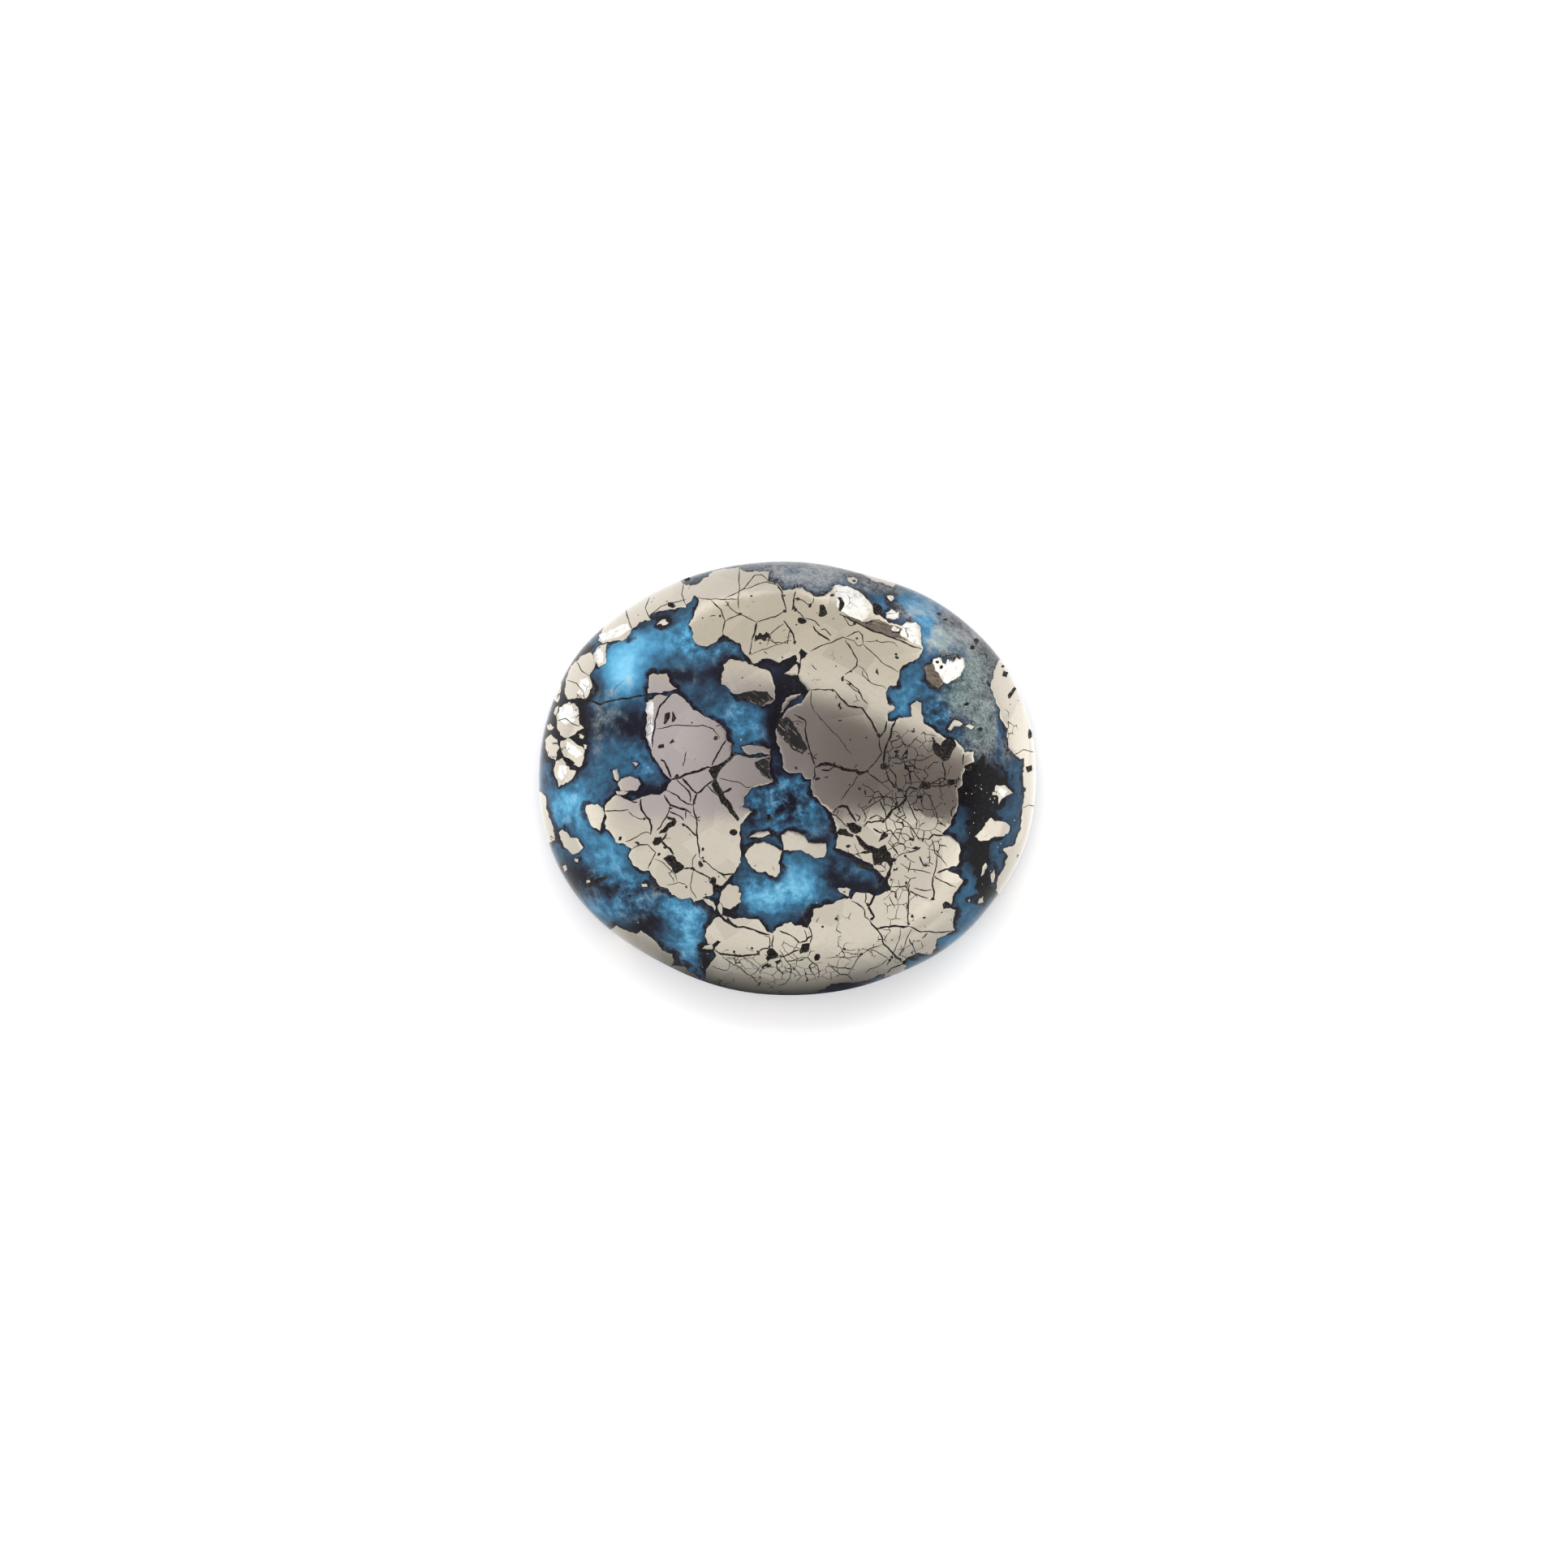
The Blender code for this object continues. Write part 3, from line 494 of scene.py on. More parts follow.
    (2.8, [(884, 1074), (892, 1077), (905, 1076)]), (1.4, [(858, 1052), (854, 1059), (854, 1067)]),
    (2.6, [(845, 1016), (859, 1030)]), (1.4, [(770, 1038), (797, 1025), (802, 1026)]),
    (1.6, [(778, 1048), (788, 1041), (798, 1041), (808, 1050), (799, 1071)]),
    (2.0, [(745, 992), (745, 1003)]), (1.8, [(746, 1000), (774, 998)]),
    (1.2, [(774, 1000), (782, 1006), (790, 1009), (797, 1008)]),
    (2.2, [(766, 981), (781, 989), (786, 989)]),
    (3.2, [(791, 985), (789, 992), (790, 999), (801, 1011), (804, 1018), (802, 1027)]),
    (1.2, [(822, 1090), (837, 1087), (845, 1090)]),
    (1.2, [(806, 1057), (819, 1064), (832, 1077), (835, 1086)]),
    (1.4, [(854, 1072), (851, 1090), (853, 1098), (858, 1106)]),
    (2.4, [(866, 1106), (872, 1105), (883, 1107)]),
    (2.8, [(718, 862), (730, 864), (740, 868), (756, 863), (799, 857)]),
    (1.6, [(780, 775), (774, 766), (772, 752)]), (1.4, [(800, 762), (796, 750), (800, 736)]),
    (1.4, [(801, 757), (814, 748), (846, 738)]), (1.4, [(846, 744), (840, 732), (842, 720)]),
    (1.4, [(699, 838), (710, 842), (718, 852), (720, 861)]), (1.4, [(710, 816), (716, 826), (726, 834)]),
    (1.4, [(687, 888), (698, 886), (706, 892), (716, 894)]), (1.4, [(1250, 930), (1262, 924), (1274, 926)]),
    (1.4, [(1260, 996), (1268, 992), (1280, 994)]),
]
print("gaps, pits and cracks:", len(GAPS), len(PITS), len(CRACKS))

# %% [markdown]
# In a few places the polish broke into the pyrite in flat facets. A bright facet is given a painted
# highlight, a near-white colour; a brown one a painted dark reflection; and a place where grit tore
# along the face is full of scratches and painted near black, as painted shade.
# Each facet below has its kind, how deep it goes in millimetres, the way it slopes down in degrees
# from the right, and its outline.

# %% Broken and scored facets
# Bright facets below carry a painted highlight, brown ones a painted dark reflection, and dark scratched
# ones painted shade.
FACETS = (
    ("scored_painted_shade", 0.11, 215.0, [(961, 885), (971, 884), (978, 892), (987, 906), (996, 922), (990, 929),
                             (976, 923), (965, 912), (957, 899)]),
    ("scored_painted_shade", 0.12, 275.0, [(905, 857), (927, 851), (946, 853), (953, 862), (938, 871), (926, 865)]),
    ("painted_dark_reflection", 0.10, 250.0, [(1039, 758), (1064, 766), (1079, 763), (1098, 771), (1111, 774),
                             (1109, 782), (1120, 791), (1101, 786), (1084, 781), (1060, 771)]),
    ("painted_dark_reflection", 0.08, 200.0, [(1138, 822), (1147, 819), (1154, 828), (1161, 841), (1156, 849),
                           (1149, 845), (1142, 836)]),
    ("scored_painted_shade", 0.07, 330.0, [(930, 938), (948, 933), (949, 955), (951, 962), (938, 954)]),
    ("painted_glint", 0.05, 60.0, [(1028, 720), (1046, 723), (1056, 727), (1066, 737), (1073, 746),
                           (1071, 758), (1062, 765), (1044, 759), (1031, 748)]),
    ("painted_glint", 0.05, 20.0, [(1113, 770), (1129, 767), (1134, 781), (1136, 798), (1122, 791),
                           (1109, 783)]),
    ("painted_glint", 0.05, 40.0, [(1148, 818), (1150, 814), (1155, 812), (1159, 812), (1160, 818),
                           (1165, 818), (1167, 814), (1176, 814), (1182, 813), (1187, 813),
                           (1188, 821), (1182, 832), (1176, 836), (1168, 842), (1162, 840),
                           (1155, 828)]),
    ("painted_glint", 0.03, 90.0, [(1091, 755), (1098, 751), (1104, 756), (1108, 754), (1107, 761),
                           (1100, 764), (1093, 762)]),
    ("painted_glint", 0.02, 90.0, [(1095, 735), (1100, 734), (1102, 739), (1097, 741)]),
    ("painted_glint", 0.02, 30.0, [(1102, 772), (1108, 776), (1106, 780), (1099, 776)]),
    ("painted_glint", 0.03, 180.0, [(797, 866), (803, 864), (807, 872), (804, 890), (806, 905), (803, 920),
                            (797, 905), (799, 884)]),
    ("painted_glint", 0.02, 120.0, [(1232, 970), (1240, 974), (1236, 980), (1229, 978)]),
    ("painted_glint", 0.02, 90.0, [(738, 783), (752, 776), (772, 768), (776, 774), (760, 785), (744, 790)]),
    ("painted_glint", 0.02, 150.0, [(740, 798), (744, 804), (743, 815), (738, 819), (734, 812), (735, 803)]),
    ("painted_glint", 0.02, 150.0, [(716, 838), (724, 836), (726, 848), (720, 857), (712, 856)]),
    ("painted_glint", 0.02, 150.0, [(690, 872), (704, 868), (710, 878), (708, 890), (696, 894), (689, 884)]),
    ("painted_glint", 0.02, 150.0, [(699, 913), (710, 920), (717, 930), (710, 934), (698, 924)]),
    ("painted_glint", 0.02, 150.0, [(690, 942), (697, 944), (698, 952), (692, 962), (688, 954)]),
)
print("facets:", len(FACETS))

# %% [markdown]
# A crack is a line, and the mesh needs an area. So each crack's line is roughened, and points are
# set off to either side of it. The distance changes along the line, and shrinks towards the ends.
# Some cracks that meet do so in a small pit. A grain that runs over the rim ends on the girdle, in a
# ragged line of its own.

# %% Cracks and pits become outlines
PIT_STEPS = 12
CRACK_OPENING = 0.8  # the share of a drawn crack's width that stands open
CRACK_TIP = 0.55  # the share of its width that a crack has at its ends
CRACK_TAPER = 10.0  # a crack is at its full width one part in this many from its ends
SWELL_SIZE = 6.0  # pixels from one wide place in a crack to the next
SWELL = 0.55
GRAIN_FOOT = 1.045  # grains that run over the rim end about here, in shares of the way from the middle
FOOT_WOBBLES = ((1.6, 0.05), (0.45, 0.02))  # size in millimetres, and height in shares
JUNCTION_GAP = 4.0  # pixels; a crack that ends this near another one may meet it in a small pit
JUNCTION_PIT = (2.5, 5.0)  # smallest and largest pit, in pixels
JUNCTION_CHANCE = 0.25


def crack_outline(width, places):
    line = np.array(ragged(short_steps(places, closed=False), CRACK_ROUGHNESS))
    along = np.gradient(line, axis=0)
    along /= np.linalg.norm(along, axis=1, keepdims=True) + 1e-9
    aside = np.stack([-along[:, 1], along[:, 0]], axis=1)
    part = np.linspace(0.0, 1.0, len(line))
    taper = np.clip(np.minimum(part, 1.0 - part) * CRACK_TAPER, CRACK_TIP, 1.0)
    swell = np.array([noise.noise(Vector((x / SWELL_SIZE, y / SWELL_SIZE, 3.1))) for x, y in line])
    half = (width * CRACK_OPENING / 2.0) * taper * (1.0 + SWELL * swell)
    left, right = line + aside * half[:, None], line - aside * half[:, None]
    return [tuple(place) for place in np.concatenate([left, right[::-1]])], [tuple(p) for p in line]


def pit_outline(centre, size):
    turns = [2.0 * math.pi * index / PIT_STEPS for index in range(PIT_STEPS)]
    oval = [(centre[0] + size[0] / 2 * math.cos(t), centre[1] + size[1] / 2 * math.sin(t)) for t in turns]
    return ragged(oval, PIT_ROUGHNESS)


def footed(loop):
    """Brings what lies past the rim back to a ragged line on the girdle."""
    places = in_millimetres(loop)
    shares = share_of_way(places[:, 0], places[:, 1])
    brought_in = []
    for (x, y), (across, down), share in zip(places, loop, shares):
        way = Vector((x, y, 0.0)).normalized() * STONE_LENGTH / 2
        foot = sum((push * noise.noise(way / size) for size, push in FOOT_WOBBLES), GRAIN_FOOT)
        pull = min(1.0, foot / share)
        brought_in.append((VIEW_CENTRE[0] + (across - VIEW_CENTRE[0]) * pull,
                           VIEW_CENTRE[1] + (down - VIEW_CENTRE[1]) * pull))
    return brought_in


pyrite_loops = [footed(ragged(short_steps(grain, closed=True))) for grain in PYRITE]
hollow_loops = [ragged(short_steps(gap, closed=True), PIT_ROUGHNESS) for gap in GAPS]
hollow_loops += [pit_outline((x, y), (width, height)) for x, y, width, height in PITS]
crack_lines = []
for crack_width, crack_places in CRACKS:
    loop, middle = crack_outline(crack_width, crack_places)
    hollow_loops.append(loop)
    crack_lines.append(middle)
pit_dice = random.Random(17)
for which, middle in enumerate(crack_lines):
    others = np.array([place for other, line in enumerate(crack_lines) if other != which for place in line])
    for end in (middle[1], middle[-2]):
        meets = np.hypot(*(others - end).T).min() < JUNCTION_GAP
        if meets and pit_dice.random() < JUNCTION_CHANCE:
            size = (pit_dice.uniform(*JUNCTION_PIT), pit_dice.uniform(*JUNCTION_PIT))
            hollow_loops.append(pit_outline(end, size))
facet_loops = [ragged(short_steps(outline, closed=True)) for kind, depth, fall, outline in FACETS]
print("outline points:", sum(map(len, pyrite_loops)), "hollow points:", sum(map(len, hollow_loops)))

# %% [markdown]
# Between the outlines the surface needs points too: rows just inside and outside each grain, so that
# its edge can be rounded and the painted shade beside it can fade, a scatter of points over the face, and
# close rings near the rim, where the dome turns down steeply.

# %% Points between the outlines
EDGE_ROUNDING = 1.1  # pixels over which the edge of a grain is rounded
ROWS_BESIDE = (-EDGE_ROUNDING, EDGE_ROUNDING, 4.5, 9.0)  # pixels from a grain's edge, outwards above 0
FILL_STEP = 3.9  # pixels between scattered points
FILL_LIMIT = 0.905  # the share of the way out where the close rings take over
ROW_GAP = 0.866  # rows of an even grid of triangles lie this share of a step apart
JITTER = 0.25  # how far a scattered point strays, in steps
CLEAR_SHARE = 0.8  # a row's points keep this share of their offset clear of other outlines
MOST_CLEAR = 2.5  # pixels, and no row asks for more
FILL_CLEAR = 1.9  # pixels that scattered points keep clear of outlines
RING_CLEAR = 1.0  # and the same for rings
RIM_RINGS = (0.915, 0.93, 0.943, 0.955, 0.965, 0.974, 0.982, 0.988, 0.993, 0.9965, 0.999, 1.0)
SIDE_RINGS = (1.018, 1.036, 1.054, 1.072, 1.082, 1.091)
RING_POINTS = 460
dice = random.Random(41)


def near_tree(loops):
    total = sum(len(loop) for loop in loops)
    tree = kdtree.KDTree(total)
    index = 0
    for loop in loops:
        for place in in_millimetres(loop):
            tree.insert((place[0], place[1], 0.0), index)
            index += 1
    tree.balance()
    return tree


def distance_to(tree, x, y):
    return tree.find((x, y, 0.0))[2] / PIXEL


def beside(loop, offset):
    """Points at an even distance from a closed outline."""
    line = np.array(loop)
    along = np.roll(line, -1, axis=0) - np.roll(line, 1, axis=0)
    along /= np.linalg.norm(along, axis=1, keepdims=True) + 1e-9
    area = np.sum(line[:, 0] * np.roll(line[:, 1], -1) - np.roll(line[:, 0], -1) * line[:, 1])
    outward = np.stack([along[:, 1], -along[:, 0]], axis=1) * (1.0 if area > 0 else -1.0)
    return line + outward * offset


constraint_tree = near_tree(pyrite_loops + hollow_loops + crack_lines + facet_loops)
extra = []
for offset in ROWS_BESIDE:
    clear = min(abs(offset) * CLEAR_SHARE, MOST_CLEAR)
    for loop in pyrite_loops:
        for place in in_millimetres(beside(loop, offset)):
            if distance_to(constraint_tree, *place) > clear:
                extra.append(tuple(place))

step_mm = FILL_STEP * PIXEL
rows = int(STONE_BREADTH / 2 / (step_mm * ROW_GAP)) + 1
columns = int(STONE_LENGTH / 2 / step_mm) + 1
for row in range(-rows, rows + 1):
    for column in range(-columns, columns + 1):
        x = (column + 0.5 * (row % 2) + dice.uniform(-JITTER, JITTER)) * step_mm
        y = (row * ROW_GAP + dice.uniform(-JITTER, JITTER)) * step_mm
        if share_of_way(x, y) < FILL_LIMIT and distance_to(constraint_tree, x, y) > FILL_CLEAR:
            extra.append((x, y))
for ring, share in enumerate(RIM_RINGS + SIDE_RINGS):
    for index in range(RING_POINTS):
        angle = 2.0 * math.pi * (index + 0.5 * (ring % 2)) / RING_POINTS
        radius = float(outline_radius(np.array(angle))) * share
        x, y = radius * math.cos(angle), radius * math.sin(angle)
        if distance_to(constraint_tree, x, y) > RING_CLEAR:
            extra.append((x, y))
print("points between the outlines:", len(extra))

# %% [markdown]
# A constrained Delaunay triangulation joins all these points into good triangles, and keeps every
# outline as a line of edges. It also says which outlines each triangle lies in, and that is how a
# triangle knows whether it is turquoise, pyrite or the dark floor of a hollow.

# %% Triangles of the flat drawing
SAME_PLACE = 1e-6  # points nearer than this are taken as one
points = []
loops = []


def add_loop(places):
    first = len(points)
    points.extend(places)
    loops.append(list(range(first, len(points))))


border = []
for index in range(RING_POINTS):
    angle = 2.0 * math.pi * index / RING_POINTS
    radius = float(outline_radius(np.array(angle))) * (1.0 + MARGIN)
    border.append((radius * math.cos(angle), radius * math.sin(angle)))
add_loop(border)
for loop in pyrite_loops + hollow_loops + facet_loops:
    places = [tuple(place) for place in in_millimetres(loop)]
    area = sum(a[0] * b[1] - b[0] * a[1] for a, b in zip(places, places[1:] + places[:1]))
    add_loop(places if area > 0 else places[::-1])
for line in crack_lines:
    if len(line) > 2:
        points.extend(tuple(place) for place in in_millimetres(line[1:-1]))
points.extend(extra)

flat = delaunay_2d_cdt([Vector(place) for place in points], [], loops, 1, SAME_PLACE, True)
flat_points = np.array([tuple(place) for place in flat[0]])
first_hollow = 1 + len(pyrite_loops)
first_facet = first_hollow + len(hollow_loops)
NO_FACET = -1
triangles, in_pyrite, in_hollow, facet_of = [], [], [], []
for corners, inside in zip(flat[2], flat[5]):
    if 0 not in inside or len(corners) != 3:
        continue
    triangles.append(corners)
    in_pyrite.append(any(1 <= which < first_hollow for which in inside))
    in_hollow.append(any(first_hollow <= which < first_facet for which in inside))
    facet_of.append(max([NO_FACET] + [which - first_facet for which in inside if which >= first_facet]))
triangles, facet_of = np.array(triangles), np.array(facet_of)
in_pyrite, in_hollow = np.array(in_pyrite), np.array(in_hollow)
facet_of[in_hollow] = NO_FACET
print("triangles:", len(triangles), "pyrite:", in_pyrite.sum(), "hollow:", in_hollow.sum())

# %% [markdown]
# Pyrite is much harder than turquoise, so polishing leaves it standing a few thousandths of a
# millimetre proud. Hollows sink below, and facets slope down to one side. Each point's height follows
# from how far it is from the nearest edge of its kind. A gentle waviness breaks up the reflections as
# a hand-polished face does.

# %% Heights over the dome
PLATEAU = 0.004
HOLLOW_DEPTH = 0.12
HOLLOW_WALL = 2.6  # pixels from a hollow's edge to its full depth
FACET_WALL = 2.2  # pixels from a facet's edge to its own slope
FACET_LIP = 0.15  # the share of its depth that a facet has at its high side
WAVES = ((2.6, 0.008), (0.9, 0.0016))  # size and height of the waviness, in millimetres
SIDE_TURN = 0.03  # over this share of the way past the rim, the relief fades to that of the side
SIDE_RELIEF = 0.4
SIDE_SINK = 0.006
LEVEL_TOP = 0.02  # nearer the middle than this, the surface looks straight up
NEARBY = 0.999  # a place pulled in by this much shows which way the surface slopes
BORDER_SHARE = 0.995  # points past this share of the margin lie on the border


def eased(value):
    value = np.clip(value, 0.0, 1.0)
    return value * value * (3.0 - 2.0 * value)


def all_round(flags):
    """True for a point when every triangle round it has the flag."""
    whole = np.ones(len(flat_points), dtype=bool)
    for corner in range(3):
        np.logical_and.at(whole, triangles[:, corner], flags)
    return whole


pyrite_tree = near_tree(pyrite_loops)
hollow_tree = near_tree(hollow_loops)
to_pyrite = np.array([distance_to(pyrite_tree, x, y) for x, y in flat_points])
to_hollow = np.array([distance_to(hollow_tree, x, y) for x, y in flat_points])
point_in_pyrite = all_round(in_pyrite)
point_in_hollow = all_round(in_hollow)

relief = -SINK + PLATEAU * eased(to_pyrite / EDGE_ROUNDING) * point_in_pyrite
relief = relief - HOLLOW_DEPTH * eased(to_hollow / HOLLOW_WALL) * point_in_hollow
for index, (kind, depth, fall, outline) in enumerate(FACETS):
    edge_tree = near_tree([facet_loops[index]])
    corners = in_millimetres(outline)
    way = np.array([math.cos(math.radians(fall)), math.sin(math.radians(fall))])
    along = corners @ way
    for point in np.flatnonzero(all_round(facet_of == index)):
        part = (flat_points[point] @ way - along.min()) / (along.max() - along.min())
        wall = eased(distance_to(edge_tree, *flat_points[point]) / FACET_WALL)
        relief[point] -= depth * (FACET_LIP + (1.0 - FACET_LIP) * float(np.clip(part, 0.0, 1.0))) * wall
for size, height in WAVES:
    wave = np.array([noise.noise(Vector((x / size, y / size, 11.0 + size))) for x, y in flat_points])
    relief = relief + height * (wave - 0.5)

surface = bend(flat_points[:, 0], flat_points[:, 1])
outward = surface - bend(flat_points[:, 0] * NEARBY, flat_points[:, 1] * NEARBY)
flat_share = share_of_way(flat_points[:, 0], flat_points[:, 1])
normal_x = surface[:, 0] * (STONE_BREADTH / STONE_LENGTH) ** 2
away = np.stack([normal_x, surface[:, 1]], axis=1)
away /= np.linalg.norm(away, axis=1, keepdims=True) + 1e-9
run = np.hypot(outward[:, 0], outward[:, 1])
drop = -outward[:, 2]
tilt = np.arctan2(drop, run + 1e-12)
tilt[flat_share < LEVEL_TOP] = 0.0
normals = np.stack([away[:, 0] * np.sin(tilt), away[:, 1] * np.sin(tilt), np.cos(tilt)], axis=1)
at_side = eased((flat_share - 1.0) / SIDE_TURN)
relief = relief * (1.0 - at_side) + (relief * SIDE_RELIEF - SIDE_SINK) * at_side
on_border = flat_share > 1.0 + MARGIN * BORDER_SHARE
relief[on_border] = 0.0
surface = surface + normals * relief[:, None]
surface[:, 2] = np.maximum(surface[:, 2], 0.0)
surface[on_border, 2] = 0.0
print("heights in millimetres:", round(surface[:, 2].min(), 3), "to", round(surface[:, 2].max(), 3))

# %% [markdown]
# The numbers become a mesh, with a material slot for each kind of surface and one for the flat back,
# which is filled with even triangles. An edge between two kinds is marked sharp, so that the polish
# stays flat right up to a crack.

# %% The stone's mesh
SLOT_TURQUOISE, SLOT_PYRITE, SLOT_MATRIX, SLOT_BACK = range(4)
FACET_SLOTS = {"painted_glint": 4, "scored_painted_shade": 5, "painted_dark_reflection": 6}
BACK_STEP = 0.9  # millimetres between points on the back
BACK_CLEAR = 0.6  # how far they keep from the rim, in steps
slots = np.where(in_pyrite, SLOT_PYRITE, SLOT_TURQUOISE)
for index, (kind, depth, fall, outline) in enumerate(FACETS):
    slots[facet_of == index] = FACET_SLOTS[kind]
slots[in_hollow] = SLOT_MATRIX
bm = bmesh.new()
verts = [bm.verts.new(place * MM) for place in surface]
for corners, slot in zip(triangles, slots):
    a, b, c = (int(corner) for corner in corners)
    face = bm.faces.new((verts[a], verts[b], verts[c]))
    face.material_index = int(slot)
    face.smooth = True
rim = [edge.verts[0] for edge in bm.edges if edge.is_boundary]
rim.extend(edge.verts[1] for edge in bm.edges if edge.is_boundary)
rim = sorted(set(rim), key=lambda vert: math.atan2(vert.co.y, vert.co.x))
rim_places = [Vector((vert.co.x, vert.co.y)) / MM for vert in rim]
inner_places = []
rows = int(STONE_BREADTH / 2 / (BACK_STEP * ROW_GAP))
columns = int(STONE_LENGTH / 2 / BACK_STEP) + 1
for row in range(-rows, rows + 1):
    for column in range(-columns, columns + 1):
        place = Vector((column + 0.5 * (row % 2), row * ROW_GAP)) * BACK_STEP
        clear = min((place - rim_place).length for rim_place in rim_places)
        if share_of_way(*place) < 1.0 and clear > BACK_STEP * BACK_CLEAR:
            inner_places.append(place)
ring = [list(range(len(rim)))]
back_fill = delaunay_2d_cdt(rim_places + inner_places, [], ring, 1, SAME_PLACE, True)
back_verts = []
for place, origins in zip(back_fill[0], back_fill[3]):
    on_rim = [origin for origin in origins if origin < len(rim)]
    back_verts.append(rim[on_rim[0]] if on_rim else bm.verts.new((place.x * MM, place.y * MM, 0.0)))
for corners, inside in zip(back_fill[2], back_fill[5]):
    if inside:
        face = bm.faces.new([back_verts[corner] for corner in corners])
        face.material_index = SLOT_BACK
for vert in [vert for vert in bm.verts if not vert.link_faces]:
    bm.verts.remove(vert)
bmesh.ops.recalc_face_normals(bm, faces=bm.faces)
for edge in bm.edges:
    edge.smooth = len({face.material_index for face in edge.link_faces}) == 1
open_edges = sum(1 for edge in bm.edges if not edge.is_manifold)
mesh = bpy.data.meshes.new("turquoise_cabochon")
bm.to_mesh(mesh)
bm.free()
stone = bpy.data.objects.new("turquoise_cabochon", mesh)
bpy.context.scene.collection.objects.link(stone)
print("stone:", len(mesh.vertices), "points,", len(mesh.polygons), "triangles, open edges:", open_edges)

# %% [markdown]
# Turquoise is never one blue. Each soft patch below is listed one by one: where light comes back out of
# the stone or is swallowed, where pale host rock clouds it, where a narrow pale streak is a painted
# reflection, where that rock is greenish, where fine pale veins marble it, and where brown-black matrix
# fills it. The patches are added up at every point and kept as attributes of the mesh, which the
# materials read later. Each row is one patch: its centre and its reach both ways in pixels, and its
# strength.

# %% Soft patches in the turquoise
GLOW_BASE = 0.42
# The narrow row at (737, 914) brightens a pale streak on the left, which is a painted reflection.
GLOWS = (
    (768, 822, 26, 30, 0.6), (800, 790, 32, 18, 0.24), (846, 792, 26, 14, 0.2), (845, 772, 8, 14, 0.22),
    (884, 802, 26, 9, 0.08), (905, 806, 12, 8, -0.1), (776, 770, 22, 7, -0.3), (822, 764, 12, 9, -0.3),
    (738, 846, 10, 16, -0.2), (842, 833, 42, 10, -0.28), (888, 826, 14, 18, -0.24), (812, 850, 18, 8, -0.16),
    (864, 858, 22, 16, -0.1), (914, 890, 24, 16, 0.12), (936, 912, 14, 12, 0.12), (950, 890, 8, 24, -0.24),
    (744, 884, 26, 16, -0.06), (780, 894, 18, 22, -0.34), (737, 914, 7, 24, 0.06), (750, 902, 30, 10, -0.14),
    (800, 938, 24, 20, 0.06), (765, 935, 16, 18, 0.08), (826, 962, 10, 14, -0.1), (800, 972, 30, 8, -0.3),
    (704, 984, 24, 18, 0.3), (688, 1004, 14, 22, 0.24), (680, 946, 10, 14, 0.12), (726, 962, 16, 10, 0.08),
    (748, 1050, 32, 24, 0.26), (722, 1008, 14, 20, 0.22), (765, 1076, 30, 16, 0.06),
    (782, 1096, 40, 16, 0.04), (712, 1078, 22, 16, -0.3), (748, 1096, 24, 10, -0.2),
    (738, 1120, 26, 12, 0.18), (700, 1100, 14, 14, -0.18), (812, 1106, 22, 12, 0.06),
    (844, 1124, 24, 20, 0.34), (850, 1162, 14, 24, 0.36), (826, 1150, 12, 16, 0.04),
    (796, 1138, 22, 15, -0.38), (868, 1178, 10, 16, -0.26), (941, 1106, 26, 18, 0.44),
    (985, 1092, 22, 20, 0.5), (982, 1064, 24, 14, 0.1), (1036, 1062, 22, 12, -0.12),
    (1032, 1082, 18, 12, -0.3), (912, 1076, 14, 10, -0.06), (902, 1120, 18, 8, -0.22),
    (994, 1130, 14, 10, -0.34), (936, 1128, 20, 6, -0.1), (1066, 1092, 24, 8, -0.26),
    (956, 948, 20, 9, -0.2), (972, 990, 16, 16, -0.34), (936, 990, 10, 18, -0.04), (966, 972, 14, 8, 0.06),
    (1002, 1006, 10, 16, 0.08), (950, 1016, 18, 8, 0.04), (926, 1010, 8, 12, -0.24),
    (1016, 1030, 8, 12, -0.2), (1118, 850, 22, 22, 0.1), (1108, 876, 16, 14, 0.16),
    (1150, 882, 14, 14, -0.06), (1122, 753, 30, 18, 0.28), (1154, 786, 24, 16, 0.36),
    (1142, 764, 14, 10, 0.18), (1177, 766, 18, 10, -0.22), (1198, 784, 14, 10, 0.1),
    (1216, 800, 14, 20, -0.38), (1196, 812, 12, 12, 0.2), (1190, 856, 26, 26, -0.03),
    (1217, 864, 10, 16, 0.1), (1242, 925, 10, 18, -0.04), (1212, 975, 26, 36, -0.4),
    (1185, 905, 14, 12, -0.04), (996, 708, 60, 14, 0.14), (1080, 724, 26, 12, -0.1),
    (1062, 706, 30, 6, -0.16), (1196, 1090, 12, 30, 0.1), (1236, 1002, 12, 18, 0.06),
    (1200, 1046, 16, 30, -0.24), (1180, 1160, 30, 14, 0.18), (1196, 1122, 14, 20, 0.04),
    (1140, 1188, 34, 9, 0.1), (1050, 1218, 50, 8, -0.26), (661, 1000, 8, 50, 0.04), (694, 912, 24, 40, -0.4),
    (716, 890, 10, 40, -0.36), (694, 826, 22, 40, -0.34), (965, 905, 20, 34, -0.34),
    (960, 848, 20, 24, -0.3), (980, 824, 14, 20, -0.3), (950, 818, 34, 7, -0.2), (840, 700, 40, 12, -0.16),
    (905, 694, 50, 7, -0.1), (770, 715, 40, 16, -0.2),
)
